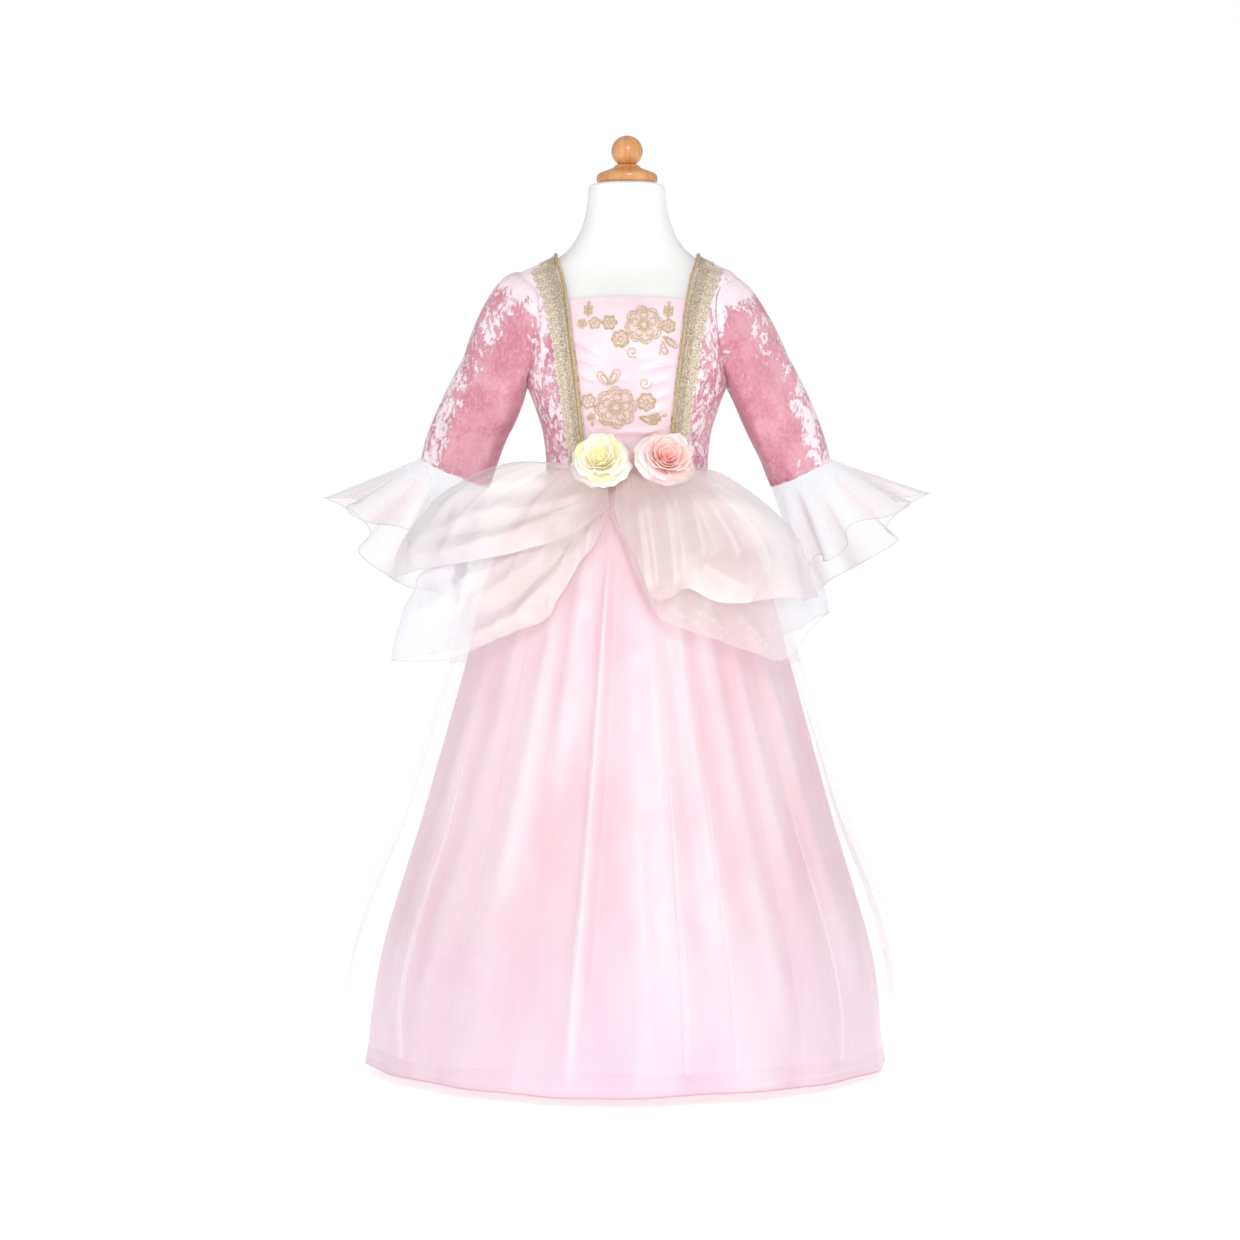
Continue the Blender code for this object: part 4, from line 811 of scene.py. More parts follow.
def sleeve_surface(row, phi, s, lift):
    """point = armhole (1 - w) + cuff w + outward (bulge + puff + folds)."""
    sign, middle, down, out, back = sleeve_frame(row)
    root = armhole(phi, sign, CLEARANCE + VELVET + 2 * SEAM)
    hold = on_form(np.array(sign * np.pi / 2), np.array(0.8150), np.array(0.0))
    ring = np.cos(phi)[..., None] * out + np.sin(phi)[..., None] * back
    pucker = 1 - 0.05 * (0.5 - 0.5 * np.cos(13 * phi + 0.8 * np.sin(2 * phi))) * ease(9 * s - 8)
    cuff = middle + (row[4] * np.cos(phi) * pucker)[..., None] * out + (row[5] * np.sin(phi) * pucker)[..., None] * back
    from_root = root - hold
    from_root /= np.linalg.norm(from_root, axis=-1, keepdims=True)
    w = ease(s) * 0.35 + s * 0.65
    bulge = SLEEVE_BULGE * (0.55 + 0.65 * np.cos(phi)) * 4 * s * (1 - s) * (1 - 0.35 * s) * ease(0.3 + s / 0.3)
    puff = row[7] * (0.5 + 0.5 * np.cos(phi)) * np.sin(np.pi * np.clip(s / 0.5, 0, 1) ** 0.8)
    facing = from_root * (1 - w)[..., None] + ring * w[..., None]
    facing /= np.linalg.norm(facing, axis=-1, keepdims=True)
    point = root * (1 - w)[..., None] + cuff * w[..., None]
    return point + facing * (bulge + puff + lift)[..., None], facing


SLEEVE_FOLD_COLUMNS = ("phi_deg", "drift_deg", "width_deg", "start", "end", "height")
SLEEVE_FOLDS = (
    (262, 30, 13, 0.30, 1.00, 0.0030), (305, -24, 11, 0.52, 1.02, 0.0036), (228, 18, 12, 0.62, 1.02, 0.0030),
    (338, -30, 12, 0.10, 0.55, 0.0026), (285, 10, 9, 0.74, 1.02, 0.0030), (190, 20, 12, 0.05, 0.50, 0.0022),
    (30, 20, 14, 0.40, 0.95, 0.0022), (80, -16, 13, 0.20, 0.80, 0.0026), (130, 24, 12, 0.45, 1.00, 0.0028),
)


def sleeve_folds(phi, s):
    """Soft ridges that run down the arm and drift round it, fading in and out."""
    total = 0.0008 * (1 + wander(phi + 2 * s, 21, 2))
    for centre, drift, width, start, end, height in SLEEVE_FOLDS:
        away = (np.degrees(phi) - centre - drift * (s - start) + 180) % 360 - 180
        fade = ease((s - start) / 0.12) * ease((end - s) / 0.10)
        total = total + height * ridge(away, 0, width) * fade
    return total * ease(s / 0.10)


# %% Sleeves
for row in CUFF_ROWS:
    phi, s = np.meshgrid(np.linspace(0, 2 * np.pi, 104, endpoint=False), np.linspace(0, 1, 76), indexing="ij")
    points, facing = sleeve_surface(row, phi, s, sleeve_folds(phi if row[0] == "left" else 2 * np.pi - phi, s))
    # Painted sheen: pale patches gather on the sleeve's crown and outer side, where the light falls, and in a band at
    # the cuff.
    crown = 0.60 * (1 - ease((s - 0.06) / 0.20)) * (0.35 + 0.65 * ease(np.cos(phi) + 0.7))
    edge = 0.30 * ease((np.cos(phi) - 0.25) / 0.4) + 0.14 * ridge(s, 1.0, 0.10)
    marks = {"crush_and_sheen": 0.22 + crown + edge + 0.08 * wander(3 * s + phi, 5)}
    sleeve = sew(
        f"velvet_sleeve_{row[0]}", [patch(points, points - facing, wrap_rows=True)], velvet,
        [f"sleeve_{row[0]}"], marks, VELVET - 0.0003,
    )
    declare_sheet(points, wrap_rows=True)

# %% [markdown]
# ## Cuff flounces
#
# A flounce is a ring cut from a circle of organza. Its inner edge is sewn to the cuff, and
# its outer edge is far longer, so it falls in waves. It is longest at the back of the arm.
# A rolled edge, a thin tube of doubled cloth, runs round the free edge.

# %% Flounces
FLOUNCE_LENGTH, FLOUNCE_OUT, FLOUNCE_BACK = 0.1140, -0.0100, 0.0260
LEAN_DEG, LEAN_OUTER_DEG, LEAN_INNER_DEG = 22.0, 20.0, -17.0


def flounce_surface(row, phi, s):
    """Each line leaves the cuff at its own lean; waves grow as s^1.3 towards the edge."""
    sign, middle, down, out, back = sleeve_frame(row)
    seed = 31 if row[0] == "right" else 47
    length = FLOUNCE_LENGTH + FLOUNCE_OUT * np.cos(phi) + FLOUNCE_BACK * np.sin(phi)
    length = length + row[8] * ridge(phi, 1.35, 0.55) + 0.004 * wander(phi, seed, 2)
    sides = np.where(np.cos(phi) > 0, LEAN_OUTER_DEG, LEAN_INNER_DEG) * np.cos(phi) ** 2
    lean = np.radians(LEAN_DEG + sides)
    turns = 7 * phi + 0.6 * np.sin(2 * phi) + 0.5 * wander(phi, seed + 2, 1, 3)
    wave = 0.0165 * np.sin(turns) * (1 + 0.35 * wander(phi, seed + 3, 1, 4)) + 0.001 * wander(phi, seed + 1, 9, 8) * s
    length = length + 0.006 * np.sin(turns + 0.4)
    phi = phi - 0.055 * s * np.sin(2 * turns) * (np.cos(phi) > -0.9)
    room = np.where(np.cos(phi) < 0, 1 + 0.6 * np.cos(phi), 1.0)
    grow = length * np.sin(lean) * s + wave * room * s**1.3
    drop = length * np.cos(lean) * s - 0.0015 * (1 - s)
    a, b = (row[4] + 0.0008 + grow) * np.cos(phi), (row[5] + 0.0008 + grow) * np.sin(phi)
    return middle + drop[..., None] * down + a[..., None] * out + b[..., None] * back, middle + drop[..., None] * down


def fold_mark(points, wrap_rows=True):
    """1 where the cloth turns sharply along its rows, 0 where it is flat."""
    pad = (lambda p: np.roll(p, 1, 0), lambda p: np.roll(p, -1, 0))
    bend = pad[0](points) + pad[1](points) - 2 * points
    if not wrap_rows:
        bend[0] = bend[-1] = 0
    step = np.linalg.norm(pad[1](points) - pad[0](points), axis=-1) / 2 + 1e-6
    return np.clip(np.linalg.norm(bend, axis=-1) / step * 2.2, 0, 1)


def flank_mark(points, core):
    """0 where the cloth faces away from its core, 1 on the flank of a flute, where it runs in or out."""
    away = np.linalg.norm(points - core, axis=-1)
    step = np.linalg.norm(np.roll(points, -1, 0) - np.roll(points, 1, 0), axis=-1) + 1e-6
    return ease(np.abs(np.roll(away, -1, 0) - np.roll(away, 1, 0)) / step * 1.3 - 0.15)


for row in CUFF_ROWS:
    phi, s = np.meshgrid(np.linspace(0, 2 * np.pi, 288, endpoint=False), np.linspace(0, 1, 44), indexing="ij")
    points, core = flounce_surface(row, phi, s)
    flank = flank_mark(points, core)
    # Painted shade: the flanks of the flutes are greyed and get a little more cover.
    marks = {"tint": 0 * s, "fold": 1.0 * flank + 0.45 * ridge(s, 0, 0.05) - 0.10, "painted_shade_and_cover": 0.35 * flank}
    flounce = sew(
        f"organza_flounce_{row[0]}", [patch(points, core, wrap_rows=True)], organza,
        [f"flounce_{row[0]}"], marks,
    )
    rim = tube(points[:, -1], 0.0006, 6, closed=True)
    edge = sew(f"flounce_edge_{row[0]}", [rim], sheer_hem, marks={"tint": np.zeros(len(rim[0])), "fold": np.zeros(len(rim[0]))})
    declare_sheet(points, wrap_rows=True)

# %% [markdown]
# ## The satin skirt
#
# The skirt is sewn from gores, so it is narrow at the waist and wide at the hem. Its outline
# comes from a table of ovals. The folds are round ridges at the angles where the photograph
# shows them, and they grow towards the hem. A shallow line marks each gore seam and the
# stitching above the hem.

# %% Skirt tables
SKIRT_COLUMNS = ("z", "half_width", "front", "back")
SKIRT_ROWS = (
    (0.0080, 0.2830, 0.2660, 0.2660),
    (0.0320, 0.2790, 0.2620, 0.2620),
    (0.0760, 0.2740, 0.2540, 0.2560),
    (0.1420, 0.2620, 0.2400, 0.2430),
    (0.2080, 0.2430, 0.2190, 0.2240),
    (0.2740, 0.2230, 0.2010, 0.2070),
    (0.3400, 0.2050, 0.1830, 0.1900),
    (0.4060, 0.1870, 0.1650, 0.1730),
    (0.4600, 0.1730, 0.1500, 0.1580),
    (0.5200, 0.1610, 0.1360, 0.1440),
    (0.5550, 0.1490, 0.1240, 0.1320),
    (0.5850, 0.1360, 0.1120, 0.1190),
    (0.6150, 0.1170, 0.0965, 0.1010),
    (0.6380, 0.0990, 0.0815, 0.0840),
    (0.6600, 0.0873, 0.0718, 0.0728),
)
SKIRT_SQUARENESS = 1.80
FOLD_COLUMNS = ("angle_deg", "width_deg", "height")
SATIN_FOLDS = (
    (-66, 10, 0.008), (-38, 11, 0.011), (-17, 7, 0.009), (5, 9, 0.006),
    (29, 11, 0.011), (52, 8, 0.007), (74, 10, 0.009), (97, 9, 0.010),
    (118, 10, 0.011), (141, 9, 0.009), (163, 10, 0.011), (184, 8, 0.009),
    (206, 10, 0.011), (229, 9, 0.010), (250, 9, 0.009), (271, 10, 0.010),
)
CREASE_COLUMNS = ("angle_deg", "drift_deg", "width_deg", "top_z", "bottom_z", "height")
SATIN_CREASES = (
    (-8.5, -4.5, 1.9, 0.60, 0.02, 0.0095), (-21, -6, 4.4, 0.60, 0.30, 0.0060),
    (-31, -8, 4.0, 0.58, 0.20, 0.0050),
    (11, 2, 5.0, 0.52, 0.06, 0.0040), (21, 6, 3.6, 0.60, 0.14, 0.0040), (33, 8, 4.2, 0.57, 0.05, 0.0044),
    (45, 8, 3.6, 0.55, 0.20, 0.0034), (-48, -10, 4.6, 0.55, 0.06, 0.0040), (2, 3, 3.0, 0.36, 0.02, 0.0030),
    (62, 6, 4.2, 0.52, 0.10, 0.0038), (-64, -6, 4.4, 0.50, 0.05, 0.0038), (84, 3, 4.0, 0.55, 0.04, 0.0038),
    (108, 3, 4.2, 0.56, 0.06, 0.0040), (129, -3, 4.4, 0.58, 0.10, 0.0038), (152, 4, 3.8, 0.54, 0.04, 0.0040),
    (174, -3, 4.0, 0.58, 0.08, 0.0042), (195, 4, 4.4, 0.55, 0.05, 0.0038), (217, -4, 4.0, 0.57, 0.12, 0.0040),
    (240, 3, 4.4, 0.55, 0.05, 0.0038), (262, -3, 4.6, 0.54, 0.06, 0.0038),
)


def ridges(angle, folds):
    total = 0 * angle
    for centre, width, height in folds:
        total = total + height * ridge((np.degrees(angle) - centre + 180) % 360 - 180, 0, width)
    return total


def satin_radius(angle, z):
    """Oval plus folds, drawn in to the form at the waist."""
    oval = oval_radius(angle, *[along(SKIRT_ROWS, i, z) for i in (1, 2, 3)], SKIRT_SQUARENESS)
    down = (WAIST_Z - z) / (WAIST_Z - HEM_Z)
    folds = (ridges(angle, SATIN_FOLDS) - 0.004) * ease(down * 1.3) * (0.45 + 0.55 * down)
    waist = form_radius(angle, WAIST_Z + 0 * z) + CLEARANCE
    near = ease((WAIST_Z - z) / 0.030)
    return waist * (1 - near) + (oval + folds) * near


def satin_creases(angle, z):
    """Narrow folds that drift sideways as they fall and fade at both ends, and the seams."""
    total = 0 * z
    for centre, drift, width, top, bottom, height in SATIN_CREASES:
        fall = np.clip((top - z) / (top - HEM_Z), 0, 1)
        away = (np.degrees(angle) - centre - drift * fall + 180) % 360 - 180
        fade = ease((top - z) / 0.12) * ease((z - bottom) / 0.10 + 0.25)
        total = total + height * ridge(away, 0, width) * fade
    seams = ridge((np.degrees(angle) % 90) - 45, 0, 0.5)
    stitch = ridge(z, HEM_Z + 0.010, 0.0012)
    return 1.35 * total - 0.0007 * seams * (z < 0.62) - 0.0004 * stitch


# %% Skirt
heights = np.concatenate([np.linspace(HEM_Z, 0.024, 9), np.linspace(0.030, WAIST_Z - SEAM / 2, 88)])
angle, z = np.meshgrid(np.linspace(-np.pi, np.pi, 576, endpoint=False), heights, indexing="ij")
z = z + 0.003 * (1 + wander(angle, 91, 3)) * ridge(z, HEM_Z, 0.05)
points = polar(angle, satin_radius(angle, z) + satin_creases(angle, z), z)
# Painted highlight on the crests of the folds and creases, and painted shade in the hollows between them, through the
# fold light mark.
broad = ridges(angle, SATIN_FOLDS) / 0.011 * ease((0.62 - z) / 0.10)
sharp = np.clip(satin_creases(angle, z) / 0.0070, 0, 1.4)
skirt = sew(
    "satin_skirt", [patch(points, axis_of(points), wrap_rows=True)], satin,
    ["skirt_front", "skirt_right", "skirt_back", "skirt_left"],
    {"painted_fold_light": np.clip(0.50 * broad + 0.62 * sharp, 0, 1.2), "hem": ridge(heights, HEM_Z, 0.0014) + 0 * angle},
)
declare_sheet(points, wrap_rows=True)

# %% [markdown]
# ## The net
#
# The net is gathered at the waist with more width than the satin, so it laps over itself.
# Each lap is an S fold: the angle runs back on itself while the radius drops from the outer
# layer to the inner one, so the layers never cross. Where three layers lie over each other
# the haze is thicker, and the folds show as pale lines.

# %% Net tables and shape
NET_FOLDS = (
    (-76, 8, 0.013), (-53, 6, 0.009), (-44, 4, 0.007), (-24, 6, 0.007),
    (-6, 5, 0.005), (15, 5, 0.009), (22, 4, 0.007), (42, 6, 0.007),
    (60, 5, 0.010), (80, 7, 0.006), (101, 7, 0.009), (124, 7, 0.010),
    (147, 7, 0.012), (170, 7, 0.010), (193, 7, 0.012), (216, 7, 0.010),
    (239, 7, 0.012), (264, 8, 0.019),
)
NET_GAP_COLUMNS = ("z", "front", "side_more")
NET_GAP_ROWS = (
    (0.0000, 0.0050, 0.0040), (0.0380, 0.0060, 0.0110), (0.0760, 0.0065, 0.0200),
    (0.1420, 0.0065, 0.0220), (0.2080, 0.0060, 0.0190), (0.2740, 0.0055, 0.0110),
    (0.3400, 0.0050, 0.0100), (0.4060, 0.0045, 0.0090), (0.5200, 0.0040, 0.0040),
    (0.5850, 0.0032, 0.0000), (0.6380, 0.0014, 0.0000), (0.6600, 0.0003, 0.0000),
)
LAP_COLUMNS = ("angle_deg", "half_width_deg", "run_back_deg", "depth")
LAP_ROWS = (
    (-57, 1.8, 1.5, 0.0020), (13, 1.8, 1.6, 0.0020), (24, 1.3, 1.0, 0.0018), (53, 1.9, 1.6, 0.0022),
    (78, 2.2, 1.8, 0.0024), (-80, 2.0, 1.7, 0.0022), (104, 2.0, 1.7, 0.0022), (131, 1.8, 1.5, 0.0022),
    (158, 2.0, 1.7, 0.0022), (186, 1.8, 1.5, 0.0022), (211, 2.0, 1.7, 0.0022), (237, 1.8, 1.5, 0.0022),
)


def net_radius(angle, z):
    gap = along(NET_GAP_ROWS, 1, z) + along(NET_GAP_ROWS, 2, z) * np.sin(angle) ** 2
    down = np.clip((WAIST_Z - z) / (WAIST_Z - HEM_Z), 0, 1)
    own = ridges(angle, NET_FOLDS) * ease(down * 1.6) * (0.35 + 0.65 * down)
    return satin_radius(angle, z) + SATIN * (1 + 0.25 * ease(down * 8)) + gap + own


def net_surface(turn, z):
    """For each lap, angle -= back sin(pi x) and radius -= depth sin(pi x / 2) where |x| < 1."""
    degrees = np.degrees(turn)
    down = ease((WAIST_Z - 0.03 - z) / 0.50)
    shift, drop = 0 * degrees, 0 * degrees
    for centre, half, back, depth in LAP_ROWS:
        x = (degrees - centre + 180) % 360 - 180
        near = np.abs(x / half) < 1
        x = np.clip(x / half, -1, 1)
        shift = shift - back * np.sin(np.pi * x) * near * down
        drop = drop + depth * np.sin(np.pi * x / 2) * np.cos(np.pi * x / 2) ** 0.5 * near * down
    angle = np.radians(degrees + shift)
    gathers = 0.0005 * (1 + wander(turn, 61, 40, 14)) * ease((z - 0.20) / 0.35)
    skirt = satin_radius(angle, z) + np.maximum(satin_creases(angle, z), 0)
    radius = np.maximum(net_radius(angle, z), skirt + 0.0032)
    return polar(angle, radius + 0.0012 + drop * 1.2 + gathers, z)


# %% Net
columns, rows = np.linspace(-np.pi, np.pi, 1320, endpoint=False), np.linspace(NET_HEM_Z, 0.655, 56)
turn, z = np.meshgrid(columns, rows, indexing="ij")
z = z + 0.004 * wander(turn, 71, 5) * ridge(z, NET_HEM_Z, 0.08)
points = net_surface(turn, z)
streaks = np.clip(wander(turn, 62, 60, 16), 0, 1) * (0.10 + 0.22 * ease((z - 0.25) / 0.35))
thin = 0.12 * ridge(z, NET_HEM_Z, 0.05)
edge_on = 0.20 * np.abs(np.sin(turn)) ** 3
marks = {"tint": 0.5 + 0 * z, "fold": 0.10 * fold_mark(points) + 0.8 * streaks + edge_on - thin}
overlay = sew(
    "net_overlay", [patch(points, axis_of(points), wrap_rows=True)], net,
    ["net_front", "net_right", "net_back", "net_left"], marks,
)
declare_sheet(points, wrap_rows=True)

# %% [markdown]
# ## The overskirt
#
# Two tiers of organza open in front. Each is a fan of lines from the waist to the free edge.
# A line is a Bezier curve: it leaves the waist flat, puffs out and turns down. The table has
# a row for each line, so the free edge can be drawn just as it is in the photograph. Folds
# radiate from the waist: they are ridges at set places along the width, narrow at the waist
# and wide at the edge.

# %% Overskirt tables
SWAG_COLUMNS = ("angle_deg", "reach", "z", "puff1_reach", "puff1_z", "puff2_reach", "puff2_z")
SWAG_TABLES = {
    "swag_lower_left": (
        (-10.5, 0.1080, 0.612, 0.080, 0.654, 0.092, 0.636),
        (-16, 0.1300, 0.576, 0.082, 0.650, 0.110, 0.616),
        (-22, 0.1440, 0.553, 0.084, 0.648, 0.124, 0.600),
        (-31, 0.1610, 0.502, 0.089, 0.648, 0.142, 0.584),
        (-41, 0.1770, 0.487, 0.095, 0.650, 0.164, 0.576),
        (-50, 0.1940, 0.473, 0.102, 0.654, 0.184, 0.574),
        (-59, 0.2200, 0.456, 0.110, 0.660, 0.212, 0.576),
        (-73, 0.2600, 0.454, 0.120, 0.662, 0.250, 0.580),
        (-88, 0.2200, 0.458, 0.112, 0.654, 0.176, 0.560),
        (-104, 0.1980, 0.462, 0.109, 0.652, 0.161, 0.563),
        (-128, 0.2040, 0.472, 0.106, 0.656, 0.175, 0.570),
        (-154, 0.2060, 0.480, 0.100, 0.658, 0.184, 0.578),
        (-180, 0.1960, 0.484, 0.096, 0.658, 0.176, 0.580),
    ),
    "swag_lower_right": (
        (-9.5, 0.1080, 0.612, 0.080, 0.654, 0.092, 0.636),
        (-2, 0.1280, 0.584, 0.082, 0.650, 0.108, 0.620),
        (5, 0.1520, 0.540, 0.083, 0.648, 0.130, 0.596),
        (12, 0.1640, 0.501, 0.085, 0.646, 0.140, 0.584),
        (22, 0.1720, 0.487, 0.088, 0.648, 0.150, 0.582),
        (33, 0.1800, 0.476, 0.094, 0.650, 0.162, 0.578),
        (46, 0.1910, 0.462, 0.101, 0.654, 0.176, 0.574),
        (55, 0.2050, 0.457, 0.108, 0.660, 0.190, 0.574),
        (68, 0.2220, 0.500, 0.124, 0.664, 0.208, 0.592),
        (84, 0.2180, 0.506, 0.122, 0.660, 0.186, 0.584),
        (104, 0.1980, 0.488, 0.109, 0.652, 0.161, 0.566),
        (128, 0.2040, 0.476, 0.106, 0.656, 0.175, 0.570),
        (154, 0.2060, 0.480, 0.100, 0.658, 0.184, 0.578),
        (180, 0.1960, 0.484, 0.096, 0.658, 0.176, 0.580),
    ),
    "swag_upper_left": (
        (-12, 0.1140, 0.616, 0.084, 0.660, 0.096, 0.640),
        (-22, 0.1520, 0.590, 0.098, 0.662, 0.132, 0.622),
        (-36, 0.1740, 0.572, 0.118, 0.670, 0.160, 0.624),
        (-50, 0.1980, 0.560, 0.134, 0.680, 0.194, 0.624),
        (-64, 0.2360, 0.550, 0.152, 0.690, 0.236, 0.616),
        (-77, 0.2620, 0.542, 0.168, 0.696, 0.262, 0.602),
    ),
    "swag_upper_right": (
        (-7, 0.1140, 0.616, 0.084, 0.660, 0.096, 0.640),
        (3, 0.1500, 0.568, 0.092, 0.660, 0.130, 0.616),
        (9, 0.1700, 0.522, 0.095, 0.659, 0.146, 0.604),
        (20, 0.1810, 0.527, 0.102, 0.660, 0.161, 0.605),
        (33, 0.1950, 0.510, 0.116, 0.668, 0.184, 0.606),
        (47, 0.2120, 0.512, 0.126, 0.672, 0.202, 0.604),
        (61, 0.2320, 0.522, 0.136, 0.676, 0.216, 0.606),
    ),
}
SWAG_FINISH_COLUMNS = ("waist_lift", "lines", "folds as (place, width at the edge, height)")
SWAG_FINISH = {
    "swag_lower_left": (0.0042, 360, (
        (0.045, 0.016, 0.006), (0.115, 0.026, 0.009), (0.175, 0.010, -0.003), (0.215, 0.016, 0.007),
        (0.300, 0.030, 0.010), (0.385, 0.018, 0.007), (0.470, 0.028, 0.009), (0.575, 0.022, 0.007),
        (0.650, 0.016, 0.005), (0.735, 0.030, 0.008), (0.815, 0.018, 0.006), (0.890, 0.026, 0.008),
    )),
    "swag_lower_right": (0.0042, 360, (
        (0.050, 0.018, 0.006), (0.130, 0.022, 0.008), (0.205, 0.014, 0.005), (0.290, 0.030, 0.009),
        (0.375, 0.016, 0.006), (0.450, 0.026, 0.008), (0.545, 0.020, 0.006), (0.625, 0.028, 0.007),
        (0.710, 0.016, 0.006), (0.780, 0.028, 0.008), (0.865, 0.018, 0.006), (0.930, 0.022, 0.007),
    )),
    "swag_upper_left": (0.0088, 270, (
        (0.090, 0.040, 0.006), (0.250, 0.060, 0.010), (0.360, 0.020, -0.003), (0.440, 0.036, 0.008),
        (0.620, 0.055, 0.010), (0.740, 0.022, 0.005), (0.860, 0.045, 0.009),
    )),
    "swag_upper_right": (0.0088, 270, (
        (0.100, 0.036, 0.008), (0.215, 0.030, 0.007), (0.330, 0.034, 0.009), (0.420, 0.018, -0.004),
        (0.540, 0.060, 0.012), (0.680, 0.022, -0.003), (0.760, 0.036, 0.007), (0.905, 0.040, 0.008),
    )),
}


FOLD_LINE_COLUMNS = ("x0", "z0", "x1", "z1", "bow", "width", "height")
FOLD_LINES = {
    "swag_upper_left": (
        (-0.034, 0.641, -0.173, 0.615, 0.008, 0.0110, 0.0070),
        (-0.032, 0.633, -0.250, 0.562, 0.009, 0.0130, 0.0075),
        (-0.074, 0.652, -0.222, 0.615, -0.012, 0.0100, 0.0060),
        (-0.041, 0.631, -0.206, 0.589, 0.006, 0.0090, -0.0040),
        (-0.118, 0.628, -0.244, 0.575, -0.004, 0.0100, 0.0050),
        (-0.060, 0.622, -0.160, 0.578, 0.004, 0.0090, 0.0045),
    ),
    "swag_lower_left": (
        (-0.030, 0.622, -0.173, 0.512, 0.006, 0.0100, 0.0080),
        (-0.028, 0.611, -0.123, 0.498, 0.004, 0.0090, 0.0080),
        (-0.046, 0.622, -0.189, 0.534, 0.008, 0.0110, 0.0070),
        (-0.030, 0.615, -0.145, 0.505, 0.005, 0.0080, -0.0040),
        (-0.057, 0.584, -0.087, 0.504, 0.000, 0.0080, 0.0050),
        (-0.041, 0.595, -0.074, 0.518, 0.000, 0.0070, -0.0030),
        (-0.096, 0.511, -0.173, 0.474, -0.003, 0.0080, 0.0050),
        (-0.150, 0.560, -0.240, 0.500, 0.006, 0.0110, 0.0060),
        (-0.190, 0.560, -0.262, 0.530, 0.004, 0.0050, 0.0050),
    ),
    "swag_upper_right": (
        (0.010, 0.628, 0.021, 0.526, 0.000, 0.0100, 0.0070),
        (0.038, 0.633, 0.050, 0.531, 0.002, 0.0110, 0.0085),
        (0.065, 0.639, 0.080, 0.562, 0.002, 0.0090, 0.0060),
        (0.024, 0.628, 0.035, 0.529, 0.000, 0.0080, -0.0040),
        (0.053, 0.635, 0.065, 0.545, 0.000, 0.0080, -0.0040),
        (0.067, 0.644, 0.155, 0.540, 0.018, 0.0100, 0.0085),
        (0.069, 0.522, 0.152, 0.522, -0.018, 0.0080, 0.0070),
        (0.069, 0.648, 0.190, 0.562, 0.008, 0.0110, 0.0060),
        (0.080, 0.562, 0.135, 0.534, 0.000, 0.0150, -0.0060),
        (0.080, 0.628, 0.119, 0.562, 0.004, 0.0090, 0.0060),
        (0.100, 0.640, 0.225, 0.545, 0.010, 0.0110, 0.0060),
    ),
    "swag_lower_right": (
        (0.036, 0.512, 0.080, 0.485, 0.000, 0.0080, 0.0045),
        (0.113, 0.501, 0.152, 0.463, 0.000, 0.0090, 0.0055),
        (0.070, 0.505, 0.110, 0.478, 0.002, 0.0090, 0.0050),
        (0.190, 0.560, 0.225, 0.515, 0.003, 0.0090, 0.0050),
    ),
}
POUF_COLUMNS = ("from_deg", "to_deg", "inwards", "upwards")
POUFS = {"swag_upper_right": (15, 60, 0.018, 0.007), "swag_upper_left": (-80, -28, 0.010, 0.004)}
CAMERA_BACK, CAMERA_Z = 3.54, 0.554


def fold_lines(points, rows):
    """Relief and doubling beside bowed lines in the front view, where off is the distance from
    the chord less 4 bow t (1 - t). Relief is a round ridge on off. Doubled cloth starts sharply
    at the fold and thins out as e to the minus off over two and a half widths."""
    nearer = CAMERA_BACK / (CAMERA_BACK + points[..., 1])
    x, z = points[..., 0] * nearer, CAMERA_Z + (points[..., 2] - CAMERA_Z) * nearer
    relief, doubled = 0 * x, 0 * x
    for x0, z0, x1, z1, bow, width, height in rows:
        length = np.hypot(x1 - x0, z1 - z0)
        way = (x1 - x0) / length, (z1 - z0) / length
        t = ((x - x0) * way[0] + (z - z0) * way[1]) / length
        off = (z - z0) * way[0] - (x - x0) * way[1] - 4 * bow * t * (1 - t)
        fade = ease(t / 0.2) * ease((1.04 - t) / 0.2)
        relief = relief + height * ridge(off, 0, width) * fade
        beyond = off * np.sign(height)
        doubled = doubled + ease(beyond / 0.004 + 0.5) * np.exp(-np.maximum(beyond, 0) / (2.5 * width)) * fade
    front = ease(-points[..., 1] / 0.04)
    return relief * front, np.clip(doubled, 0, 1.2) * front


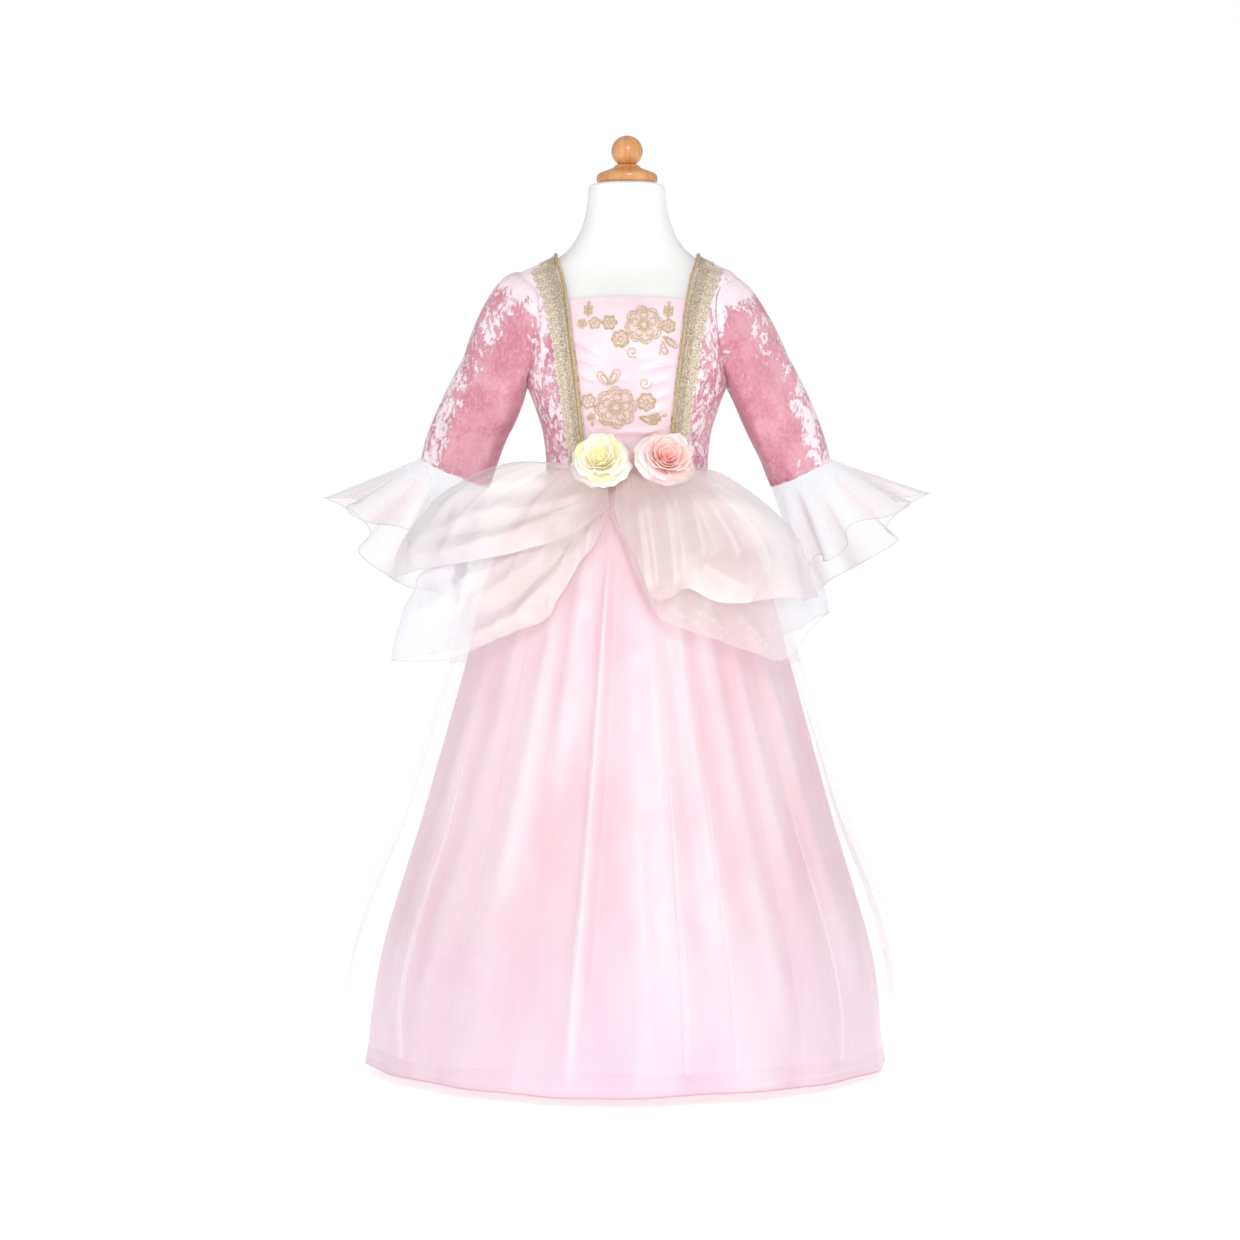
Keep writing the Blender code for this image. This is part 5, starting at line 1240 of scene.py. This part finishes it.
def swag_surface(name, u, s):
    """reach and height are cubic Bezier curves in s; the folds are added to the reach."""
    rows, (lift, _, folds) = SWAG_TABLES[name], SWAG_FINISH[name]
    degrees = np.interp(u, np.linspace(0, 1, len(rows)), column(rows, 0))
    aside = np.abs(degrees - rows[0][0])
    sweep = 0.50 * aside * (1 - ease((aside - 50) / 50)) * np.sign(rows[-1][0]) * (1 - s) ** 1.5
    angle = np.radians(degrees - sweep)
    reach, edge_z, r1, z1, r2, z2 = [across(column(rows, i), u) for i in range(1, 7)]
    b = (1 - s) ** 3, 3 * s * (1 - s) ** 2, 3 * s * s * (1 - s), s**3
    r = b[0] * (form_radius(angle, WAIST_Z + 0 * angle) + lift) + b[1] * r1 + b[2] * r2 + b[3] * reach
    z = b[0] * (WAIST_Z - SEAM / 2) + b[1] * z1 + b[2] * z2 + b[3] * edge_z
    rise = 0 * u
    for place, width, height in folds:
        rise = rise + height * ridge(u, place, width * (0.5 + 0.5 * s)) * ease(s * 2.2) * (0.5 + 0.5 * s)
    gather = 0.0006 * np.sin(2 * np.pi * 34 * u) * ridge(s, 0.04, 0.07)
    start, end, inwards, upwards = POUFS.get(name, (0, 0, 0, 0))
    under = ease((degrees - start) / 9) * ease((end - degrees) / 9) * np.clip((s - 0.80) / 0.20, 0, 1) ** 2
    rise = rise * (0.35 + 0.65 * ease((np.abs(degrees) - 55) / 25)) + gather - inwards * under
    z = z + upwards * under
    relief, doubled = fold_lines(polar(angle, r, z), FOLD_LINES[name])
    return polar(angle, r + rise + relief * ease(s * 3), z), doubled + np.sqrt(under)


# %% Overskirt
for name, (lift, lines, folds) in SWAG_FINISH.items():
    u, s = np.meshgrid(np.linspace(0, 1, lines), np.linspace(0, 1, 64), indexing="ij")
    if name.startswith("swag_lower"):
        u = np.clip(u, 0, 1 - 0.0006)
    points, doubled = swag_surface(name, u, s)
    inside = points * np.array([0.6, 0.6, 1.0]) - np.array([0, 0, 0.05])
    front = 1 - ease((np.abs(np.degrees(np.arctan2(points[..., 0], -points[..., 1]))) - 40) / 24)
    tint = front if name.startswith("swag_lower") else np.ones(u.shape)
    faint = 0.35 * ridge(s, 1, 0.22) * front if name == "swag_upper_left" else 0 * s
    # Painted shade: the upper tiers' outer sides get a grey colour and a little more cover.
    painted_shade_and_cover = (1 - front) * name.startswith("swag_upper")
    marks = {"tint": tint, "fold": 0.20 * fold_mark(points, False) + 0.48 * doubled - faint, "painted_shade_and_cover": painted_shade_and_cover}
    swag = sew(f"organza_{name}", [patch(points, inside)], organza, [name], marks)
    border = np.concatenate([points[0, 4:-1], points[:, -1], points[-1, -2:4:-1]])
    rim = tube(border, 0.0004, 6, lean=(0.3, 0.2, 0.9))
    count = np.zeros(len(rim[0]))
    edge = sew(f"edge_{name}", [rim], sheer_hem, marks={"tint": count + 1, "fold": count})
    declare_sheet(points)

# %% [markdown]
# ## Lace and cord on the neckline
#
# A band of scalloped gold lace lies outside each front edge, and a twisted gold cord covers
# the join. The lace is a narrow grid. Its pattern is a plain repeat worked out from two
# distances, along and across the band: arcs that follow each scallop, a ring in each, and a
# fine ground between them. The cord is three strands that wind round one path.

# %% Lace bands
LACE_WIDTH, LACE_WIDTH_TOP, LACE_REPEAT = 0.0205, 0.0230, 0.0098
LACE_LIFT = CLEARANCE + VELVET + 0.0009


def lace_grid(lines=480, columns=34):
    """The band's angles and heights; v is the distance from the neckline edge in metres."""
    z = np.interp(np.linspace(0, 1, lines), [0, 0.8, 1], [WAIST_Z + 0.002, 0.868, SHOULDER_Z - 0.0008])
    edge = neck_angle(z)
    high = (z - WAIST_Z) / (SHOULDER_Z - WAIST_Z)
    run = np.concatenate([[0], np.cumsum(np.linalg.norm(np.diff(form_surface(edge, z), axis=0), axis=-1))])
    scallop = 0.0030 * np.abs(np.sin(np.pi * run / LACE_REPEAT)) ** 0.7
    width = LACE_WIDTH - 0.0015 + (LACE_WIDTH_TOP - LACE_WIDTH) * high + scallop
    narrow = 1 - 0.12 * ease((z - 0.872) / 0.022)
    drop = ease((z - 0.874) / 0.020) * 0.9
    share = np.linspace(0, 1, columns)
    v = 0.0046 + (width[:, None] * narrow[:, None] - 0.0046) * share
    angle = edge[:, None] + v / form_radius(edge, z)[:, None] * (1 - drop[:, None])
    angle = np.minimum(angle, np.pi / 2 - 0.004)
    return angle, z[:, None] - drop[:, None] * v * 0.55, run[:, None] + 0 * v, v, share[None] + 0 * v


def lace_yarn(run, v, share):
    """The repeat: scallop arcs, a ring with a dot, two border lines and a fine diamond ground."""
    x = (run / LACE_REPEAT) % 1.0 - 0.5
    y = share * 2.1
    arc = np.hypot(x, (y - 1.50) * 0.9)
    arcs = ridge(arc, 0.46, 0.045) + ridge(arc, 0.30, 0.05) + ridge(arc, 0.0, 0.11)
    petals = ridge(np.hypot(x, y - 0.85), 0.24 + 0.07 * np.cos(5 * np.arctan2(x, y - 0.85)), 0.05)
    lines = ridge(share, 0.03, 0.03) + ridge(share, 0.14, 0.018) + ridge(share, 0.97, 0.035)
    ground = 0.34 * np.maximum(np.abs(np.sin(9 * np.pi * x + 7 * y)), np.abs(np.sin(9 * np.pi * x - 7 * y))) ** 8
    return np.clip(arcs + petals + lines + ground, 0, 1)


for side, sign in (("right", 1), ("left", -1)):
    angle, z, run, v, share = lace_grid()
    yarn = lace_yarn(run, v, share)
    points = on_form(sign * angle, z, LACE_LIFT + 0.0006 * yarn)
    band = sew(
        f"gold_lace_{side}", [patch(points, axis_of(points))], lace, [f"lace_{side}"],
        {"yarn": yarn, "across": share},
    )
    declare_sheet(points)

# %% Twisted cords
CORD_RADIUS, CORD_LIFT, STRAND_PITCH = 0.0021, 0.0015, 0.0068


def twisted(path, outward, radius, strands=3, pitch=STRAND_PITCH):
    """Each strand's middle circles the path once a pitch: offset (cos, sin) at half radius."""
    step = np.gradient(path, axis=0)
    run = np.concatenate([[0], np.cumsum(np.linalg.norm(np.diff(path, axis=0), axis=-1))])
    step = step / np.linalg.norm(step, axis=-1, keepdims=True)
    side = np.cross(step, outward)
    out = []
    for k in range(strands):
        turn = 2 * np.pi * (run / pitch + k / strands)
        centre = path + 0.52 * radius * (np.cos(turn)[:, None] * side + np.sin(turn)[:, None] * outward)
        out.append(tube(centre, 0.50 * radius, 7, lean=(0.2, -0.9, 0.1)))
    return out


for side, sign in (("right", 1), ("left", -1)):
    z = np.interp(np.linspace(0, 1, 560), [0, 0.75, 1], [WAIST_Z + 0.003, 0.855, SHOULDER_Z - 0.003])
    angle = np.minimum(neck_angle(z) + 0.0018 / form_radius(neck_angle(z), z), np.pi / 2 - 0.012)
    path = on_form(sign * angle, z, CLEARANCE + VELVET + CORD_LIFT * (1 - ease((z - 0.850) / 0.020)) + CORD_RADIUS)
    outward = path - on_form(sign * angle, z, 0 * z)
    outward /= np.linalg.norm(outward, axis=-1, keepdims=True)
    sew(f"gold_cord_{side}", twisted(path, outward, CORD_RADIUS), gold, [f"cord_{side}"])

# %% [markdown]
# ## Corded flowers on the satin
#
# Two sprays of corded lace lie on the centre panel: flowers, leaves, curls and sprigs in
# gold yarn over a fine gold ground. They are drawn as outlines in the front view and laid on
# the panel's surface. The motifs are plain flowers and leaves made from rose curves and
# teardrops, which is how such lace is drawn.


# %% Outline makers
def on_centre(x, z, lift):
    """Lays a front-view point on the centre panel, this far off its face."""
    half_width, front = along(FORM_ROWS, 1, z), along(FORM_ROWS, 2, z)
    y = front * (1 - np.minimum(np.abs(x / half_width), 0.98) ** SQUARENESS) ** (1 / SQUARENESS)
    angle = np.arctan2(x, y)
    return on_form(angle, z, centre_lift(angle, z) + lift)


def loop(x0, z0, radius, petals, depth, steps=120, spin=0.0):
    """Round lobes that meet in notches: r = radius (1 - depth (1 - |cos(petals a / 2)|^0.7))."""
    a = np.linspace(0, 2 * np.pi, steps, endpoint=False)
    r = radius * (1 - depth * (1 - np.abs(np.cos(petals * (a - spin) / 2)) ** 0.7))
    return x0 + r * np.cos(a), z0 + r * np.sin(a), True


def teardrop(x0, z0, length, width, degrees, steps=40):
    """A leaf or petal: pointed at its root, round at its tip."""
    a = np.linspace(0, 2 * np.pi, steps, endpoint=False)
    run, off = length * 0.5 * (1 - np.cos(a)), width * 0.5 * np.sin(a) * np.sin(a / 2) ** 0.6
    c, s = np.cos(np.radians(degrees)), np.sin(np.radians(degrees))
    return x0 + run * c - off * s, z0 + run * s + off * c, True


def curl(x0, z0, radius, turns, degrees, steps=60):
    """A spiral whose radius grows evenly with its angle."""
    a = np.linspace(0, 2 * np.pi * turns, steps)
    r = radius * (0.15 + 0.85 * a / a[-1])
    return x0 + r * np.cos(a + np.radians(degrees)), z0 + r * np.sin(a + np.radians(degrees)), False


def bloom(x0, z0, radius, petals, spin):
    """A flower: a double scalloped outline, and in a large one two more rings of round petals."""
    turn, deep = np.radians(spin), 0.20 if radius > 0.012 else 0.42
    out = [loop(x0, z0, radius, petals, deep, spin=turn), loop(x0, z0, 0.84 * radius, petals, deep, spin=turn)]
    if radius > 0.012:
        for k in range(5):
            degrees = 2 * spin + 72 * k
            c, s = np.cos(np.radians(degrees)), np.sin(np.radians(degrees))
            out.append(teardrop(x0 + 0.20 * radius * c, z0 + 0.20 * radius * s, 0.46 * radius, 0.46 * radius, degrees))
        out.append(loop(x0, z0, 0.34 * radius, 5, 0.24, spin=2 * turn))
    return out + [loop(x0, z0, 0.18 * radius if radius > 0.012 else 0.30 * radius, 5, 0.2)]


def sprig(x0, z0, size, degrees, pairs=3):
    """A stem with pairs of small leaves and one at its tip."""
    c, s = np.cos(np.radians(degrees)), np.sin(np.radians(degrees))
    run = np.linspace(0, size, 14)
    out = [(x0 + run * c, z0 + run * s, False), teardrop(x0 + size * c, z0 + size * s, 0.4 * size, 0.22 * size, degrees)]
    for k in range(pairs):
        at = size * (0.25 + 0.25 * k)
        for side in (-1, 1):
            out.append(teardrop(x0 + at * c, z0 + at * s, 0.42 * size, 0.20 * size, degrees + side * 55))
    return out


MOTIFS = {
    "motif_upper_bloom": bloom(0.0180, 0.8140, 0.0205, 8, 10) + bloom(-0.0072, 0.7990, 0.0098, 7, 30)
    + [curl(0.0058, 0.7850, 0.0066, 1.3, 200), curl(0.0400, 0.7850, 0.0062, 1.2, 150)],
    "motif_upper_sprig": bloom(-0.0190, 0.8165, 0.0082, 6, 0) + bloom(-0.0345, 0.8160, 0.0066, 5, 20)
    + bloom(-0.0480, 0.8155, 0.0050, 5, 60) + sprig(-0.0420, 0.8220, 0.0125, 86),
    "motif_upper_leaves": bloom(0.0440, 0.8130, 0.0078, 6, 25) + sprig(0.0430, 0.8200, 0.0140, 84)
    + [teardrop(0.0380, 0.8020, 0.0190, 0.0078, -38), teardrop(0.0400, 0.8000, 0.0130, 0.0042, -38)]
    + [teardrop(0.0370, 0.7960, 0.0140, 0.0066, -75)],
    "motif_lower_bloom": bloom(-0.0120, 0.7260, 0.0225, 8, 5) + bloom(0.0205, 0.7320, 0.0100, 7, 15)
    + [curl(0.0190, 0.7520, 0.0072, 1.3, 260)],
    "motif_lower_sprig": [
        teardrop(-0.0180, 0.7500, 0.0185, 0.0105, 62), teardrop(-0.0175, 0.7520, 0.0120, 0.0056, 62),
        teardrop(-0.0200, 0.7495, 0.0175, 0.0100, 128), teardrop(-0.0205, 0.7515, 0.0115, 0.0054, 128),
    ] + bloom(-0.0410, 0.7330, 0.0080, 6, 12) + sprig(-0.0390, 0.7220, 0.0110, -80, 2),
    "motif_lower_leaves": [teardrop(0.0130, 0.7160, 0.0190, 0.0085, -20), teardrop(0.0150, 0.7155, 0.0120, 0.0045, -20)]
    + sprig(0.0260, 0.7130, 0.0120, 20, 2) + bloom(0.0290, 0.7140, 0.0060, 5, 0),
}

# %% Corded motifs
for name, outlines in MOTIFS.items():
    parts = []
    for x, z, closed in outlines:
        parts.append(tube(on_centre(x, z, 0.0008 + 0 * x), 0.00048, 5, lean=(0.05, -1.0, 0.1), closed=closed))
    sew(f"corded_{name}", parts, pale_gold, [name])

ground, t, shader = new_material("gold net ground", Roughness=0.5, Metallic=0.2)
where = t.node("ShaderNodeTexCoord").outputs["Object"]
knots = t.noise(where, 620.0, 2.0, 0.6)
t.give(shader, "Base Color", t.mix(knots, linear(232, 214, 182), linear(206, 182, 138)))
t.give(shader, "Alpha", t.span(knots, 0.38, 0.62, 0.10, 0.45))
fills = []
for x0, z0, radius, petals in (
    (0.0180, 0.8140, 0.0195, 8), (-0.0072, 0.7990, 0.0092, 7), (-0.0120, 0.7260, 0.0215, 8),
    (0.0205, 0.7320, 0.0094, 7), (-0.0190, 0.8165, 0.0076, 6), (0.0440, 0.8130, 0.0072, 6),
):
    a, r = np.meshgrid(np.linspace(0, 2 * np.pi, 64, endpoint=False), np.linspace(0, 1, 12), indexing="ij")
    edge = radius * (1 + 0.07 * np.cos(petals * a)) * r
    grid = on_centre(x0 + edge * np.cos(a), z0 + edge * np.sin(a), 0.0003 + 0 * a)
    fills.append(patch(grid, grid * np.array([1.0, 0.5, 1.0]), wrap_rows=True))
sew("corded_ground", fills, ground)

# %% [markdown]
# ## Cloth roses
#
# Each rose is built as a florist would: rings of petals round a rolled bud, each ring wider
# and flatter than the last. A petal is a patch that starts narrow, widens and recedes at its
# corners, so its rim is round. It cups upwards, and its rim rolls back.

# %% Roses
ROSE_COLUMNS = ("name", "x", "y", "z", "tilt_deg", "turn_deg", "spin_deg")
ROSE_ROWS = (
    ("rose_cream", -0.0272, -0.0862, 0.6650, 30, -8, 10),
    ("rose_pink", 0.0390, -0.0885, 0.6670, 28, 14, 52),
)
RING_COLUMNS = ("petals", "radius", "half_width_deg", "base", "height", "cup", "roll", "spin_deg")
RING_ROWS = (
    (5, 0.0335, 50, 0.0006, 0.0110, 2.0, 0.0085, 0),
    (5, 0.0300, 50, 0.0014, 0.0185, 2.2, 0.0080, 33),
    (5, 0.0262, 48, 0.0022, 0.0235, 2.3, 0.0055, 8),
    (4, 0.0215, 58, 0.0030, 0.0245, 2.4, 0.0035, 52),
    (4, 0.0160, 60, 0.0038, 0.0195, 2.2, 0.0020, 20),
    (3, 0.0105, 72, 0.0044, 0.0150, 2.0, 0.0010, 70),
    (2, 0.0055, 95, 0.0048, 0.0125, 1.6, 0.0000, 10),
)


def rose_axes(row):
    tilt, turn = np.radians(row[4]), np.radians(row[5])
    out = np.array([np.sin(turn) * np.cos(tilt), -np.cos(turn) * np.cos(tilt), np.sin(tilt)])
    right = np.cross(np.array([0, 0, 1.0]), out) * -1
    right /= np.linalg.norm(right)
    return np.array(row[1:4]), right, np.cross(out, right) * -1, out


def petal(row, ring, k, seed):
    """radius = R t (1 - 0.18 a^2), height = base + H t^cup - roll where t > 0.7, plus frills."""
    count, radius, half, base, height, cup, roll, spin = ring
    middle, right, up, out = rose_axes(row)
    a, t = np.meshgrid(np.linspace(-1, 1, 27), np.linspace(0.02, 1, 18), indexing="ij")
    rng = np.random.default_rng(seed)
    size, lean, ruffle = 1 + rng.uniform(-0.10, 0.04), rng.uniform(-9, 9), rng.uniform(0, 6.28)
    frill = 0.035 * np.sin(4 * a + ruffle) * t**3 + 0.022 * np.sin(11 * a + 2 * ruffle) * t**6
    r = radius * size * t * (1 - 0.18 * np.abs(a) ** 2.4 * t) * (1 + frill)
    wide = np.radians(half) * (0.75 + 0.25 * np.sin(np.pi * np.clip(t, 0, 1) * 0.6))
    psi = np.radians(spin + row[6] + lean + 360 * k / count) + wide * a
    layer = 0.0014 * a + 0.0032 * rng.uniform(-1, 1) * t**2
    h = base + height * t**cup - roll * np.clip((t - 0.70) / 0.30, 0, 1) ** 2 * (1 + 0.5 * a**2)
    h = h + layer + 0.0013 * np.sin(5 * a + ruffle) * t**3 + 0.0007 * np.sin(12 * a + 3 * ruffle) * t**6
    flat = (r * np.cos(psi))[..., None] * right + (r * np.sin(psi))[..., None] * up
    points = middle + flat + h[..., None] * out
    mark = np.clip(0.40 + 0.60 * (radius / 0.033) * t, 0, 1) * (0.35 + 0.65 * t)
    return patch(points, points - out), mark, (rng.random() < 0.22) * 0.7 * t**2


for row in ROSE_ROWS:
    parts, marks, warm = [], [], []
    for number, ring in enumerate(RING_ROWS):
        for k in range(ring[0]):
            shape, mark, tinted = petal(row, ring, k, 100 * number + 7 * k + len(row[0]))
            parts.append(shape)
            marks.append(mark.ravel())
            warm.append(tinted.ravel())
    material, slot = (cream, "cream_rose") if row[0] == "rose_cream" else (pink, "pink_rose")
    nodes = [f"{row[0]}_{part}" for part in ("outer", "middle", "inner", "heart")]
    sew(f"petals_{row[0]}", parts, material, nodes, {"out": np.concatenate(marks), "warm": np.concatenate(warm)}, 0.0004)

# %% [markdown]
# ## Floor, light and camera
#
# The photograph is a bright studio shot: white floor, white surroundings and soft light from
# all sides, a little stronger from the upper left. The camera stands 3.54 m away at the
# height of the overskirt with a long lens. Its place was worked out from how much the hem
# curves down and the cap's underside curves up.

# %% Stage
bpy.ops.mesh.primitive_plane_add(size=30, location=(0, 0, 0))
floor = bpy.context.object
floor.name = "floor"
floor_finish, t, shader = new_material("white studio floor", Roughness=0.9, Emission_Strength=0.62)
shader.inputs["Emission Color"].default_value = (1, 1, 1, 1)
cloud = t.noise(t.node("ShaderNodeTexCoord").outputs["Object"], 3.0, 2.0)
t.give(shader, "Base Color", t.mix(cloud, (0.93, 0.93, 0.93), (0.95, 0.95, 0.95)))
floor.data.materials.append(floor_finish)

world = bpy.data.worlds.new("white surroundings")
bpy.context.scene.world = world
world.use_nodes = True
t = Tree(world.node_tree)
seen, out = world.node_tree.nodes["Background"], world.node_tree.nodes["World Output"]
seen.inputs["Color"].default_value = (1, 1, 1, 1)
way = t.node("ShaderNodeTexCoord").outputs["Object"]
towards = t.node("ShaderNodeVectorMath", {0: way, 1: (0.10, -0.85, 0.52)}, operation="DOT_PRODUCT").outputs["Value"]
soft_light = t.node("ShaderNodeBackground", {"Color": (1, 1, 1, 1), "Strength": t.span(towards, -1, 1, 0.40, 0.605)})
direct = t.node("ShaderNodeLightPath").outputs["Is Camera Ray"]
both = t.node("ShaderNodeMixShader", {0: direct, 1: soft_light.outputs[0], 2: seen.outputs[0]})
world.node_tree.links.new(both.outputs[0], out.inputs["Surface"])
bpy.context.scene.view_settings.view_transform = "Standard"

LIGHT_COLUMNS = ("name", "place", "aim", "size", "watts")
LIGHTS = (
    ("key", (0.5, -3.3, 2.1), (0, 0, 0.50), 0.8, 40),
    ("strip", (-1.6, -2.7, 1.1), (0, 0, 0.40), 0.5, 7),
)


def aim(obj, at):
    """Turns an object's -Z axis towards a point."""
    way = np.array(at) - np.array(obj.location)
    flat = float(np.hypot(way[0], way[1]))
    obj.rotation_euler = (np.pi / 2 + np.arctan2(way[2], flat), 0, -np.arctan2(way[0], way[1]))


for name, place, target, size, watts in LIGHTS:
    lamp = bpy.data.lights.new(name, "AREA")
    lamp.size = size
    lamp.energy = watts
    obj = bpy.data.objects.new(name, lamp)
    bpy.context.scene.collection.objects.link(obj)
    obj.location = place
    aim(obj, target)

camera = bpy.data.objects.new("camera", bpy.data.cameras.new("camera"))
bpy.context.scene.collection.objects.link(camera)
camera.location = (-0.0077, -3.54, 0.554)
camera.rotation_euler = (np.radians(90 - 0.94), 0, 0)
camera.data.lens = 93.34
camera.data.sensor_width = 36
bpy.context.scene.camera = camera
